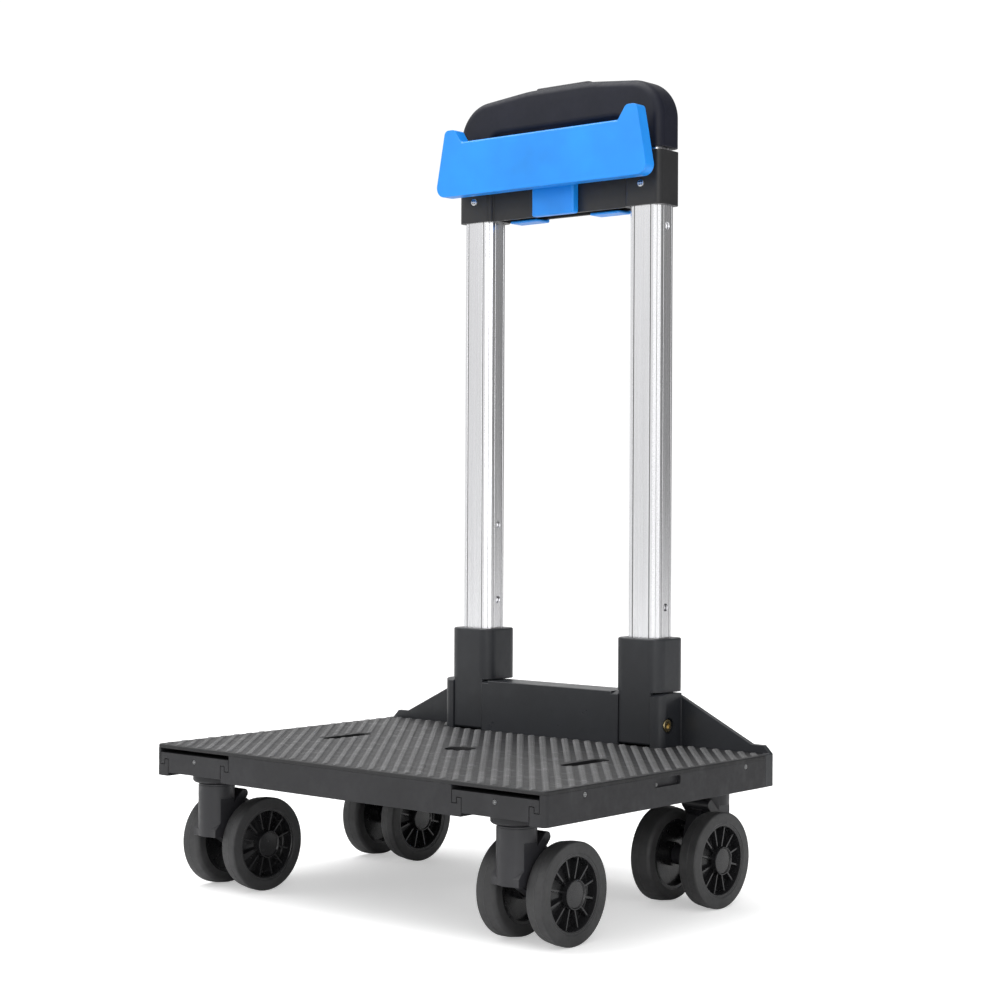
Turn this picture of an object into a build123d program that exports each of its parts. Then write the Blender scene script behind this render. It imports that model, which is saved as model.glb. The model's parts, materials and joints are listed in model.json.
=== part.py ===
from build123d import *
import os

os.makedirs("parts", exist_ok=True)

# Folding platform cart. Millimetres, +Z up, ground at z = 0.
# X is across the platform, -Y is the open front edge, +Y is the side with the mast.

# ---- heights, from the ground up ----
wheel_radius = 38.6
fork_above_wheel = 11.3
swivel_ring_height = 1.7
swivel_gap = 0.8
socket_flange_height = 6.5
arm_above_base = 2.8
arm_height = 16.5
arm_stop_height = 2.6
arm_stop_gap = 1.0
deck_thickness = 3.0

axle_z = wheel_radius
fork_top = 2 * wheel_radius + fork_above_wheel
swivel_ring_top = fork_top + swivel_ring_height
socket_flange_bottom = swivel_ring_top + swivel_gap
arm_bottom = socket_flange_bottom + socket_flange_height
base_bottom = arm_bottom - arm_above_base
arm_top = arm_bottom + arm_height
frame_top = arm_top + arm_stop_height + arm_stop_gap
deck_top = frame_top + deck_thickness

# ---- platform ----
platform_width = 420.0
platform_front = -149.0
platform_rear = 142.5
corner_radius = 5.0
side_wall = 5.1
front_wall = 5.0
rib_thickness = 3.0
rib_bottom_lift = 3.0
rib_lines_y = (-100.0, -52.0, 22.0, 55.0)
deck_edge_round = 1.0
deck_slot_inset = 79.0
deck_slot_y = -3.0
deck_slot_length = 54.0
deck_slot_width = 13.0
deck_hole_radius = 13.0
deck_screw_x = 58.0
deck_screw_y = (-118.0, -30.0, 70.0)
deck_screw_skin = 0.8
side_slot_y = -2.2
side_slot_length = 33.0
side_slot_lift = 15.1
side_slot_height = 6.8
side_slot_depth = 3.4
side_slot_corner = 2.0
side_pin_radius = 1.4
side_pin_inset = 2.2
side_screw_y = 103.4
side_screw_lift = 19.3
side_screw_radius = 2.2
side_screw_depth = 1.2

half_width = platform_width / 2

# ---- screws ----
screw_radius = 2.0
screw_head_radius = 3.6
screw_head_height = 2.4
screw_boss_radius = 5.5
screw_seat = base_bottom + screw_head_height
wall_screw_x = (60.0, 175.0)
wall_screw_z = base_bottom + 13.3
wall_screw_length = 11.0
small_screw_radius = 1.3
arm_screw_head = 2.0
arm_screw_head_height = 0.9
arm_screw_length = 8.0
arm_screw_drop = 5.3

# ---- mast bracket, its hinge and the back wall ----
bracket_half_width = 121.5
bracket_shell = 3.0
bracket_seat_depth = 0.8
bracket_seat_gap = 0.3
bracket_front_round = 8.0
bracket_boss_x = 45.0
bracket_boss_height = 14.0
cheek_screw_inset = 5.9
inner_cheek = 7.0
hinge_lift = 17.9
hinge_radius = 3.0
hinge_clearance = 0.05
hinge_to_bracket_front = 10.5
swing_gap = 0.5
tongue_width = 33.0
tongue_side_gap = 0.3
tongue_swing_radius = 17.0
tongue_corner = 2.0
bracket_above_tongue = 9.3
bolt_head_radius = 5.5
bolt_head_height = 2.5
bolt_head_round = 1.0
bolt_socket_radius = 2.6
bolt_socket_depth = 1.5
bolt_recess_radius = 6.8
bolt_recess_depth = 3.2
nut_flats = 10.0
nut_height = 5.0
bolt_tail = 2.0
wall_thickness = 4.5
wall_below_bracket = 0.8
wing_chamfer = 6.0
wing_shoulder = 2.0
wing_end = 18.0
wing_above_deck = 6.9
post_width = 6.5
post_depth = 11.0
post_fit = 0.3

wall_front = platform_rear - wall_thickness
post_front = platform_rear - post_depth
hinge_y = wall_front - tongue_swing_radius - swing_gap
hinge_z = deck_top + hinge_lift
bracket_front = hinge_y - hinge_to_bracket_front
bracket_bottom = deck_top - bracket_seat_depth
bracket_top = hinge_z + tongue_swing_radius + bracket_above_tongue
bracket_boss_y = bracket_front + 15.0
cheek_screw_x = bracket_half_width - cheek_screw_inset
cheek_screw_y = wall_front - 8.0
wall_top = bracket_top - wall_below_bracket
wing_low_top = deck_top + wing_above_deck
slot_half = tongue_width / 2 + tongue_side_gap

# ---- mast ----
mast_behind_hinge = 11.5
sleeve_side_wall = 7.2
sleeve_front_wall = 7.3
sleeve_corner = 11.4
sleeve_height = 45.0
sleeve_floor = 4.0
sleeve_rim_round = 1.5
tube_length = 444.7
tube_width = 32.6
tube_depth = 26.4
tube_corner = 7.0
tube_wall = 1.5
outer_cheek = 12.15
collar_side_wall = 2.7
collar_front_wall = 2.0
collar_corner = 5.5
collar_height = 45.5
collar_lid = 4.9
collar_screw_lift = 18.1
collar_screw_proud = 1.0
collar_screw_sink = 0.6
foot_screw_lift = 24.7
beam_setback = 4.2
beam_depth = 21.5
beam_shell = 3.0

sleeve_width = tube_width + 2 * sleeve_side_wall
sleeve_depth = tube_depth + 2 * sleeve_front_wall
collar_width = tube_width + 2 * collar_side_wall
collar_depth = tube_depth + 2 * collar_front_wall
mast_x = bracket_half_width - outer_cheek - tongue_width / 2
mast_y = hinge_y + mast_behind_hinge
sleeve_bottom = bracket_top + swing_gap
sleeve_top = sleeve_bottom + sleeve_height
sleeve_front = mast_y - sleeve_depth / 2
sleeve_rear = mast_y + sleeve_depth / 2
foot_screw_z = sleeve_bottom + foot_screw_lift
tube_bottom = sleeve_bottom + sleeve_floor
tube_top = tube_bottom + tube_length
collar_top = tube_top + collar_lid
collar_bottom = collar_top - collar_height
collar_screw_z = collar_bottom + collar_screw_lift
collar_front = mast_y - collar_depth / 2
beam_front = collar_front + beam_setback
beam_rear = beam_front + beam_depth
beam_half_length = mast_x - collar_width / 2

# ---- bag hook plate ----
plate_before_collar = 13.0
plate_thickness = 12.0
plate_drop = 24.4
plate_height = 47.5
plate_horn_height = 11.6
plate_horn_width = 11.0
plate_horn_slope = 8.0
plate_horn_round = 4.5
plate_corner = 9.0
plate_beyond_collar_low = 5.95
plate_taper = 11.5
saddle_half_width = 23.0
saddle_thickness = 4.0
saddle_tab_depth = 8.0
saddle_gap = 0.2
saddle_rib = 4.0
saddle_rib_lift = 6.0
clip_half_spacing = 45.0
clip_width = 32.0
clip_thickness = 3.0
clip_toe = 17.0
clip_toe_height = 2.4

plate_rear = collar_front - plate_before_collar
plate_front = plate_rear - plate_thickness
plate_bottom = collar_top - plate_drop
plate_top = plate_bottom + plate_height
plate_horn_top = plate_top + plate_horn_height
plate_half_bottom = mast_x + collar_width / 2 + plate_beyond_collar_low
plate_half_top = plate_half_bottom - plate_taper

# ---- sliding handle and its lock ----
handle_travel = 320.0
lower_hole_lift = 25.7
middle_hole_lift = 67.0
lock_hole_radius = 3.3
inner_gap = 0.4
inner_wall = 1.2
inner_below_hole = 15.0
guide_gap = 0.08
guide_flange = 4.0
plug_height = 29.0
lock_pin_radius = 2.9
lock_pin_root = 2.0
lock_pin_tip_gap = 0.15
lock_pin_bore_gap = 0.06
lock_pin_stroke = 2.25
lock_pin_chamfer = 0.6
rod_radius = 2.5
rod_gap = 0.1
rod_above_hole = 7.5
rod_pocket_above_hole = 3.6

cavity_width = tube_width - 2 * tube_wall
cavity_depth = tube_depth - 2 * tube_wall
cavity_corner = tube_corner - tube_wall
inner_width = cavity_width - 2 * inner_gap
inner_depth = cavity_depth - 2 * inner_gap
inner_corner = cavity_corner - inner_gap
core_width = inner_width - 2 * inner_wall
core_depth = inner_depth - 2 * inner_wall
core_corner = inner_corner - inner_wall
lower_hole_z = sleeve_top + lower_hole_lift
middle_hole_z = lower_hole_z + middle_hole_lift
upper_hole_z = lower_hole_z + handle_travel
inner_bottom = lower_hole_z - inner_below_hole

# ---- grip ----
grip_above_collar = 2.6
grip_leg_height = 25.5
grip_bar_height = 37.7
grip_side_wall = 5.1
grip_front_wall = 3.9
grip_outer_round = 34.0
grip_inner_round = 9.0
grip_edge_round = 7.5
grip_flat_half = 34.0
grip_shoulder_drop = 7.6
grip_flat_end_round = 150.0
grip_cap_over_tube = 5.0
grip_channel_width = 16.0
grip_cover_thickness = 4.0
grip_cover_inset = 8.0
grip_cover_gap = 0.2
grip_cover_round = 1.2
grip_boss_x = 48.0
grip_boss_radius = 3.8
grip_screw_radius = 1.5
grip_screw_head = 2.8
grip_screw_head_height = 1.6
grip_screw_reach = 9.0
button_length = 60.0
button_width = 14.0
button_corner = 4.0
button_round = 1.5
button_proud = 2.0
button_gap = 0.4
button_flange = 3.0
button_flange_height = 4.2
button_travel = 3.0
push_bar_height = 3.6
push_bar_depth = 7.0
push_bar_overhang = 1.5
push_bar_room = 0.4
push_bar_ring = 2.4
spring_radius = 2.8
spring_wire = 0.3
spring_turns = 3
spring_pocket = 2.5
spring_gap = 0.05

grip_leg_width = inner_width + 2 * grip_side_wall
grip_depth = inner_depth + 2 * grip_front_wall
grip_bottom = collar_top + grip_above_collar
grip_bar_bottom = grip_bottom + grip_leg_height
grip_top = grip_bar_bottom + grip_bar_height
grip_tube_top = grip_bar_bottom - grip_cap_over_tube
grip_cover_top = grip_bar_bottom + grip_cover_thickness
push_bar_bottom = grip_cover_top + button_travel + push_bar_room
push_bar_top = push_bar_bottom + push_bar_height
grip_channel_top = push_bar_top + button_flange_height + push_bar_room
boss_hole_radius = grip_boss_radius + push_bar_room
spring_bottom = grip_cover_top - spring_pocket

# ---- pull-out front arms ----
arm_rear = 60.0
arm_travel = 120.0
arm_half_top = 41.5
arm_half_box = 32.0
arm_lip = 4.5
arm_slab = 5.0
arm_lip_drop = 4.5
arm_wall = 3.0
arm_face = 4.0
arm_gap = 0.4
arm_stop_length = 4.0
arm_ribs_y = (-70.0, -20.0)
rail_rear = 88.0

arm_x = half_width - side_wall - arm_gap - arm_half_top
channel_wall_x = arm_x - arm_half_top - arm_gap
arm_screw_z = arm_top - arm_screw_drop
deck_slot_x = half_width - deck_slot_inset

# ---- casters ----
front_kingpin_inset = 25.0
rear_kingpin_inset = 20.0
trail = 29.0
wheel_inner = 14.0
wheel_outer = 31.5
fork_half_width = 13.2
fork_stem_radius = 15.1
fork_above_tyre = 1.0
fork_hood_low = 42.0
fork_hood_edge = 6.0
fork_crown_y = 19.0
fork_crown_drop = 8.5
fork_crown_radius = 4.0
fork_web_half = 5.0
fork_web_depth = 10.0
fork_boss_radius = 8.0
swivel_ring_radius = 14.8
socket_flange_radius = 19.5
socket_flange_chamfer = 1.5
socket_boss_radius = 13.0
socket_boss_height = 14.5
kingpin_radius = 5.0
kingpin_depth = 28.5
kingpin_head_radius = 8.0
kingpin_head_height = 3.0
kingpin_head_round = 1.2
kingpin_play = 0.1
counterbore_radius = 8.6
spin_clearance = 0.05
axle_radius = 3.0
axle_half_length = 26.0
axle_head_radius = 4.6
axle_head_height = 1.8
axle_head_room = 0.6
tyre_bore = 28.5
tyre_outer_round = 3.0
tyre_inner_round = 3.5
rim_wall = 3.5
rim_inset = 0.6
hub_web_in = 19.5
hub_web = 3.0
hub_inset = 0.2
hub_radius = 9.5
hub_outer = 28.0
spoke_count = 12
spoke_thickness = 1.8
spoke_outer = 28.6
cap_radius = 11.3
cap_face = 33.0
cap_rim = 1.6
cap_dish = 1.0
cap_round = 0.8

front_kingpin_y = platform_front + front_kingpin_inset
rear_kingpin_y = platform_rear - rear_kingpin_inset
fork_front_low = fork_top - fork_hood_low
fork_front_high = fork_front_low + fork_hood_edge
fork_crown_z = fork_top - fork_crown_drop
kingpin_foot = fork_top - kingpin_depth
socket_seat = arm_bottom + socket_flange_height


def block(x0, x1, y0, y1, z0, z1):
    """Box between two corners."""
    return Pos((x0 + x1) / 2, (y0 + y1) / 2, (z0 + z1) / 2) * Box(x1 - x0, y1 - y0, z1 - z0)


def post(x, y, z0, z1, radius):
    """Upright cylinder from z0 to z1."""
    return Pos(x, y, (z0 + z1) / 2) * Cylinder(radius, z1 - z0)


def rod_x(x0, x1, y, z, radius):
    """Cylinder along X."""
    return Pos((x0 + x1) / 2, y, z) * Rot(0, 90, 0) * Cylinder(radius, abs(x1 - x0))


def rod_y(x, y0, y1, z, radius):
    """Cylinder along Y."""
    return Pos(x, (y0 + y1) / 2, z) * Rot(90, 0, 0) * Cylinder(radius, abs(y1 - y0))


def column(x, y, z0, z1, width, depth, corner):
    """Upright bar with rounded corners."""
    return Pos(x, y, z0) * extrude(RectangleRounded(width, depth, corner), z1 - z0)


def side_profile(face, x0, x1):
    """A face drawn in Y and Z, given a width from x0 to x1."""
    return extrude(Plane.YZ.offset(x0) * face, x1 - x0, dir=(1, 0, 0))


def front_profile(face, y0, y1):
    """A face drawn in X and Z, given a depth from y0 to y1."""
    return extrude(Plane.XZ.offset(-y1) * face, y1 - y0, dir=(0, -1, 0))


def save(name, *solids):
    """Write one node, which holds one piece or a group of like pieces."""
    shape = Compound(children=[s for group in solids for s in group.solids()])
    shape.label = name
    export_step(shape, f"parts/{name}.step")


def mirrored(shape):
    """The same piece on the other side of the platform."""
    return mirror(shape, about=Plane.YZ)


# ---- screws that hold the base together ----
def screw_up(x, y, head_z, tip_z):
    """Screw driven upwards from below."""
    head = post(x, y, head_z, head_z + screw_head_height, screw_head_radius)
    return head + post(x, y, head_z + screw_head_height, tip_z, screw_radius)


bracket_screw_places = [
    (sign * x, y) for sign in (-1, 1)
    for x, y in ((bracket_boss_x, bracket_boss_y), (cheek_screw_x, cheek_screw_y))
]
deck_screw_places = [(sign * deck_screw_x, y) for sign in (-1, 1) for y in deck_screw_y]


# ---- base frame: side walls, apron, arm rails, ribs and rear caster sockets ----
def rail(side):
    """One edge of an arm's channel: a ledge with an upturned lip. side is -1 or 1 about the arm."""
    near = arm_half_box + arm_gap
    far = arm_half_top + arm_gap
    ledge_top = arm_top - arm_slab - arm_lip_drop - arm_gap
    lip_top = arm_top - arm_slab - arm_gap
    outer = half_width - arm_x
    ledge = block(near, outer, platform_front, rail_rear, base_bottom, ledge_top)
    lip = block(near, arm_half_top - arm_lip - arm_gap, platform_front, rail_rear, base_bottom, lip_top)
    wall = block(far, outer, platform_front, rail_rear, base_bottom, frame_top)
    shape = ledge + lip + wall
    if side < 0:
        shape = mirrored(shape)
    return Pos(arm_x, 0, 0) * shape


def caster_socket(x, y, plate_bottom, boss_top):
    """Flange and boss that take a caster's kingpin."""
    flange = post(x, y, socket_flange_bottom, plate_bottom, socket_flange_radius)
    flange = chamfer(flange.faces().sort_by(Axis.Z)[0].edges(), socket_flange_chamfer)
    return flange + post(x, y, plate_bottom, boss_top, socket_boss_radius)


def kingpin_bore(x, y, top):
    """Running bore for the kingpin, with room above the seat for its head."""
    bore = post(x, y, socket_flange_bottom - 1, socket_seat + 1, kingpin_radius + spin_clearance)
    return bore + post(x, y, socket_seat, top, counterbore_radius)


def base_half():
    """Everything in the frame on the +X side of the middle."""
    wall_x = half_width - post_width - post_fit
    inner_x = channel_wall_x - side_wall
    side = block(half_width - side_wall, half_width, platform_front, post_front - post_fit,
                 base_bottom, frame_top)
    apron = block(0, channel_wall_x, platform_front, platform_front + front_wall, base_bottom, frame_top)
    rear = block(0, wall_x, wall_front - front_wall, wall_front, base_bottom, frame_top)
    shape = side + apron + rear + rail(-1) + rail(1)
    shape += block(inner_x, wall_x, rail_rear, wall_front, base_bottom, base_bottom + side_wall)
    shape += block(inner_x, half_width, rail_rear, rail_rear + rib_thickness, base_bottom, frame_top)
    shape += block(inner_x, channel_wall_x, rail_rear, wall_front, base_bottom, frame_top)
    for y in rib_lines_y + (rail_rear, bracket_boss_y - rib_thickness / 2):
        shape += block(0, inner_x + 1, y, y + rib_thickness, base_bottom + rib_bottom_lift, frame_top)
    for x in (0.0, deck_screw_x):
        start = max(x - rib_thickness / 2, 0)
        for y0, y1 in ((platform_front, rib_lines_y[1]), (rib_lines_y[2], wall_front)):
            shape += block(start, x + rib_thickness / 2, y0, y1, base_bottom + rib_bottom_lift, frame_top)
    shape += block(deck_screw_x - rib_thickness / 2, deck_screw_x + rib_thickness / 2,
                   rib_lines_y[1], rib_lines_y[2], base_bottom + rib_bottom_lift, frame_top)
    stop_rear = arm_rear - arm_stop_length - arm_travel - arm_gap
    shape += block(channel_wall_x - 1, half_width - 1, stop_rear - rib_thickness, stop_rear,
                   arm_top + arm_gap, frame_top)
    for x, y in bracket_screw_places + deck_screw_places:
        if x > 0:
            shape += post(x, y, base_bottom, frame_top, screw_boss_radius)
    for x in wall_screw_x:
        shape += rod_y(x, wall_front - wall_screw_length - 3, wall_front - 1, wall_screw_z,
                       screw_boss_radius)
    shape += caster_socket(arm_x, rear_kingpin_y, base_bottom, arm_bottom + socket_boss_height)
    return shape


def base_frame():
    half = base_half()
    shape = half + mirrored(half)
    corners = shape.edges().filter_by(Axis.Z).filter_by(
        lambda e: abs(abs(e.center().X) - half_width) < 0.01 and abs(e.center().Y - platform_front) < 0.01)
    shape = fillet(corners, corner_radius - 0.5)
    slot_face = RectangleRounded(side_slot_length, side_slot_height, side_slot_corner)
    slot_z = base_bottom + side_slot_lift + side_slot_height / 2
    screw_z = base_bottom + side_screw_lift
    for sign in (-1, 1):
        shape -= kingpin_bore(sign * arm_x, rear_kingpin_y, frame_top)
        slot = Pos(half_width - side_slot_depth, side_slot_y, slot_z) * extrude(
            Plane.YZ * slot_face, side_slot_depth + 1, dir=(1, 0, 0))
        if sign < 0:
            slot = mirrored(slot)
        shape -= slot
        for y in (-side_screw_y, side_screw_y):
            edge = sign * half_width
            shape -= rod_x(edge - sign * side_screw_depth, edge + sign, y, screw_z, side_screw_radius)
            shape -= rod_x(edge - sign * (side_wall - 1), edge, y, screw_z, small_screw_radius)
        for x in wall_screw_x:
            shape -= rod_y(sign * x, wall_front - wall_screw_length, wall_front + 1, wall_screw_z,
                           screw_radius)
    for x, y in bracket_screw_places + deck_screw_places:
        shape -= post(x, y, base_bottom - 1, frame_top + 1, screw_radius)
        shape -= post(x, y, base_bottom - 1, screw_seat, screw_head_radius)
    return shape


# ---- deck panel: the plate that carries the load ----
def deck_panel():
    shape = block(-half_width, half_width, platform_front, wall_front, frame_top, deck_top)
    front_corners = shape.edges().filter_by(Axis.Z).group_by(Axis.Y)[0]
    shape = fillet(front_corners, corner_radius)
    top_edges = shape.faces().sort_by(Axis.Z)[-1].edges()
    shape = fillet(top_edges, deck_edge_round)
    for sign in (-1, 1):
        slot = extrude(Rot(0, 0, 90) * SlotOverall(deck_slot_length, deck_slot_width), deck_thickness + 2)
        shape -= Pos(sign * deck_slot_x, deck_slot_y, frame_top - 1) * slot
        shape -= block(*sorted((sign * (half_width - post_width - post_fit), sign * (half_width + 1))),
                       post_front - post_fit, wall_front + 1, frame_top - 1, deck_top + 1)
    shape -= post(0, deck_slot_y, frame_top - 1, deck_top + 1, deck_hole_radius)
    seat_half = bracket_half_width + bracket_seat_gap
    seat = block(-seat_half, seat_half, bracket_front - bracket_seat_gap, wall_front + 1,
                 bracket_bottom, deck_top + 1)
    seat_corners = seat.edges().filter_by(Axis.Z).group_by(Axis.Y)[0]
    shape -= fillet(seat_corners, bracket_front_round + bracket_seat_gap)
    for x, y in bracket_screw_places:
        shape -= post(x, y, frame_top - 1, deck_top + 1, screw_radius)
    for x, y in deck_screw_places:
        shape -= post(x, y, frame_top - 1, deck_top - deck_screw_skin, screw_radius)
    return shape


# ---- mast bracket: hinge box on the deck and the back wall behind it, in one moulding ----
def back_wall():
    """Low upright with sloping wings and an end post at each side."""
    low = wing_low_top - post_width
    outline = Polygon(
        (0, base_bottom), (half_width, base_bottom), (half_width, low),
        (half_width - post_width, wing_low_top), (half_width - wing_end, wing_low_top),
        (bracket_half_width, wall_top - wing_shoulder), (bracket_half_width - wing_chamfer, wall_top),
        (0, wall_top), align=None)
    half = front_profile(outline, wall_front, platform_rear)
    half += block(half_width - post_width, half_width, post_front, platform_rear, base_bottom, low)
    return half + mirrored(half)


def hinge_box():
    """Box across the deck, open below, with screw bosses on a rib inside."""
    cavity_half = mast_x - slot_half - inner_cheek
    shape = block(-bracket_half_width, bracket_half_width, bracket_front, wall_front + 1,
                  bracket_bottom, bracket_top)
    front_corners = shape.edges().filter_by(Axis.Z).group_by(Axis.Y)[0]
    shape = fillet(front_corners, bracket_front_round)
    shape -= block(-cavity_half, cavity_half, bracket_front + bracket_shell, wall_front,
                   bracket_bottom - 1, bracket_top - bracket_shell)
    for x in (-bracket_boss_x, 0.0, bracket_boss_x):
        shape += block(x - rib_thickness / 2, x + rib_thickness / 2, bracket_front + 1, wall_front + 1,
                       deck_top + 2, bracket_top - 1)
    for x in (-bracket_boss_x, bracket_boss_x):
        shape += post(x, bracket_boss_y, bracket_bottom, deck_top + bracket_boss_height, screw_boss_radius)
    return shape


def mast_bracket():
    shape = hinge_box() + back_wall()
    cavity_half = mast_x - slot_half - inner_cheek
    # The front top edge of each cheek is an arc about the hinge, so that the sleeve swings past it.
    keep = Pos(0, hinge_y, hinge_z) * Rot(0, 90, 0) * Cylinder(bracket_top - hinge_z, 2 * platform_width)
    swing_x = mast_x - sleeve_width / 2 - tongue_side_gap
    for sign in (-1, 1):
        corner = block(*sorted((sign * swing_x, sign * (bracket_half_width + 1))),
                       bracket_front - 1, hinge_y, hinge_z, bracket_top + 1)
        shape -= corner - keep
        shape -= block(*sorted((sign * (mast_x - slot_half), sign * (mast_x + slot_half))),
                       bracket_front - 1, wall_front, bracket_bottom - 1, bracket_top + 1)
        outer = sign * bracket_half_width
        bore_end = sign * (cavity_half - 1)
        shape -= rod_x(bore_end, outer + sign, hinge_y, hinge_z, hinge_radius + hinge_clearance)
        shape -= rod_x(outer - sign * bolt_recess_depth, outer + sign, hinge_y, hinge_z, bolt_recess_radius)
        for x in wall_screw_x:
            shape -= rod_y(sign * x, wall_front - 1, platform_rear + 1, wall_screw_z, screw_radius)
            shape -= rod_y(sign * x, platform_rear - screw_head_height, platform_rear + 1,
                           wall_screw_z, screw_head_radius)
    for x, y in bracket_screw_places:
        shape -= post(x, y, bracket_bottom - 1, deck_top + 10, screw_radius)
    return shape


def hinge_bolt(sign):
    """Bolt from the outer cheek through the tongue to the nut inside the bracket."""
    seat = bracket_half_width - bolt_recess_depth
    tail = mast_x - slot_half - inner_cheek - nut_height - bolt_tail
    head = rod_x(sign * seat, sign * (seat + bolt_head_height), hinge_y, hinge_z, bolt_head_radius)
    head = fillet(head.edges().sort_by(Axis.X)[-1 if sign > 0 else 0], bolt_head_round)
    socket = extrude(Plane.YZ * RegularPolygon(bolt_socket_radius, 6), sign * (bolt_socket_depth + 0.1))
    head -= Pos(sign * (seat + bolt_head_height - bolt_socket_depth), hinge_y, hinge_z) * socket
    return head + rod_x(sign * tail, sign * seat, hinge_y, hinge_z, hinge_radius)


def hinge_nut(sign):
    face = mast_x - slot_half - inner_cheek
    hexagon = RegularPolygon(nut_flats / 2, 6, major_radius=False) - Circle(hinge_radius)
    return Pos(sign * face, hinge_y, hinge_z) * extrude(Plane.YZ * hexagon, -sign * nut_height)


save("base_frame", base_frame())
save("deck_panel", deck_panel())
save("mast_bracket", mast_bracket())
save("hinge_bolts", hinge_bolt(-1), hinge_bolt(1))
save("hinge_nuts", hinge_nut(-1), hinge_nut(1))
base_screws = [screw_up(x, y, base_bottom, deck_top + 9) for x, y in bracket_screw_places]
base_screws += [screw_up(x, y, base_bottom, deck_top - 1) for x, y in deck_screw_places]
seat_y = platform_rear - screw_head_height
for x in (-wall_screw_x[1], -wall_screw_x[0], wall_screw_x[0], wall_screw_x[1]):
    head = rod_y(x, seat_y, platform_rear, wall_screw_z, screw_head_radius)
    base_screws.append(head + rod_y(x, wall_front - wall_screw_length, seat_y, wall_screw_z, screw_radius))
save("base_screws", *base_screws)


def side_trim(sign):
    """Two screws in the side wall and the small pin at the front of its slot."""
    edge = sign * half_width
    z = base_bottom + side_screw_lift
    pieces = []
    for y in (-side_screw_y, side_screw_y):
        head = rod_x(edge - sign * side_screw_depth, edge, y, z, side_screw_radius)
        shank = rod_x(edge - sign * (side_wall - 1), edge - sign, y, z, small_screw_radius)
        pieces.append(head + shank)
    pin_y = side_slot_y - side_slot_length / 2 + side_pin_inset
    pin_z = base_bottom + side_slot_lift + side_pin_inset
    pieces.append(rod_x(edge - sign * side_slot_depth, edge - sign * 0.3, pin_y, pin_z, side_pin_radius))
    return pieces


save("side_screws", *side_trim(-1), *side_trim(1))


# ---- front arms: channels that pull out of the base, each with a caster under its nose ----
def front_arm():
    """The arm on the +X side."""
    box_top = arm_top - arm_slab
    lip_bottom = box_top - arm_lip_drop
    shape = block(-arm_half_top, arm_half_top, platform_front, arm_rear, box_top, arm_top)
    for sign in (-1, 1):
        shape += block(*sorted((sign * (arm_half_top - arm_lip), sign * arm_half_top)),
                       platform_front, arm_rear, lip_bottom, box_top)
        shape += block(*sorted((sign * (arm_half_box - arm_wall), sign * arm_half_box)),
                       platform_front, arm_rear, arm_bottom, box_top)
    shape += block(-arm_half_box, arm_half_box, platform_front, platform_front + arm_face,
                   arm_bottom, box_top)
    for y in arm_ribs_y + (arm_rear - arm_wall,):
        shape += block(-arm_half_box, arm_half_box, y, y + arm_wall, arm_bottom, box_top)
    shape += caster_socket(0, front_kingpin_y, arm_bottom, box_top)
    shape += block(-arm_wall / 2, arm_wall / 2, front_kingpin_y, arm_ribs_y[0], arm_bottom, box_top)
    shape += block(-arm_half_box, arm_half_box, arm_rear - arm_stop_length, arm_rear, arm_top,
                   arm_top + arm_stop_height)
    shape -= kingpin_bore(0, front_kingpin_y, arm_top + 1)
    shape -= rod_y(0, platform_front - 1, platform_front + arm_screw_length, arm_screw_z, small_screw_radius)
    shape -= rod_y(0, platform_front - 1, platform_front + arm_screw_head_height, arm_screw_z, arm_screw_head)
    return Pos(arm_x, 0, 0) * shape


def arm_screw():
    """Small screw in the middle of the arm's front face."""
    head = rod_y(arm_x, platform_front, platform_front + arm_screw_head_height, arm_screw_z, arm_screw_head)
    return head + rod_y(arm_x, platform_front + 0.5, platform_front + arm_screw_length, arm_screw_z,
                        small_screw_radius)


save("front_arm_right", front_arm())
save("front_arm_left", mirrored(front_arm()))
save("arm_screw_right", arm_screw())
save("arm_screw_left", mirrored(arm_screw()))


# ---- casters: a body on a kingpin, with a wheel on each side of it ----
def caster_body():
    """Kingpin at the origin, wheels trailing towards +Y."""
    stem = post(0, 0, fork_front_low, fork_top, fork_stem_radius)
    for sign in (-1, 1):
        stem -= block(*sorted((sign * fork_half_width, sign * 2 * fork_stem_radius)), -fork_stem_radius,
                      fork_stem_radius, fork_front_low - 1, 2 * wheel_radius + fork_above_tyre)
    ring = post(0, 0, fork_top, swivel_ring_top, swivel_ring_radius)
    slant = fork_crown_radius * 0.7
    hood_face = Polygon(
        (-fork_half_width, fork_front_low), (-fork_half_width, fork_front_high),
        (fork_crown_y - slant, fork_crown_z + slant), (fork_crown_y + slant, fork_crown_z - slant),
        (-fork_half_width + fork_hood_edge, fork_front_low), align=None)
    hood = side_profile(hood_face, -fork_half_width, fork_half_width)
    hood += rod_x(-fork_half_width, fork_half_width, fork_crown_y, fork_crown_z, fork_crown_radius)
    web_face = Polygon(
        (-slant, fork_front_low), (fork_crown_y - slant, fork_crown_z - slant),
        (fork_crown_y + slant + 5, fork_crown_z - slant - 5), (trail + fork_boss_radius - 1, axle_z + 3),
        (trail, axle_z - fork_boss_radius), (trail - 1.5 * fork_web_depth, axle_z - 3), align=None)
    web = side_profile(web_face, -fork_web_half, fork_web_half)
    boss = rod_x(-fork_half_width, fork_half_width, trail, axle_z, fork_boss_radius)
    shape = stem + ring + hood + web + boss
    shape -= post(0, 0, kingpin_foot, swivel_ring_top + 1, kingpin_radius)
    shape -= rod_x(-wheel_outer, wheel_outer, trail, axle_z, axle_radius)
    return shape


def kingpin():
    head_bottom = socket_seat + kingpin_play
    head = post(0, 0, head_bottom, head_bottom + kingpin_head_height, kingpin_head_radius)
    head = fillet(head.faces().sort_by(Axis.Z)[-1].edges(), kingpin_head_round)
    return head + post(0, 0, kingpin_foot, head_bottom, kingpin_radius)


def axle():
    shape = rod_x(-axle_half_length, axle_half_length, trail, axle_z, axle_radius)
    for sign in (-1, 1):
        end = sign * axle_half_length
        shape += rod_x(end, end + sign * axle_head_height, trail, axle_z, axle_head_radius)
    return shape


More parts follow.
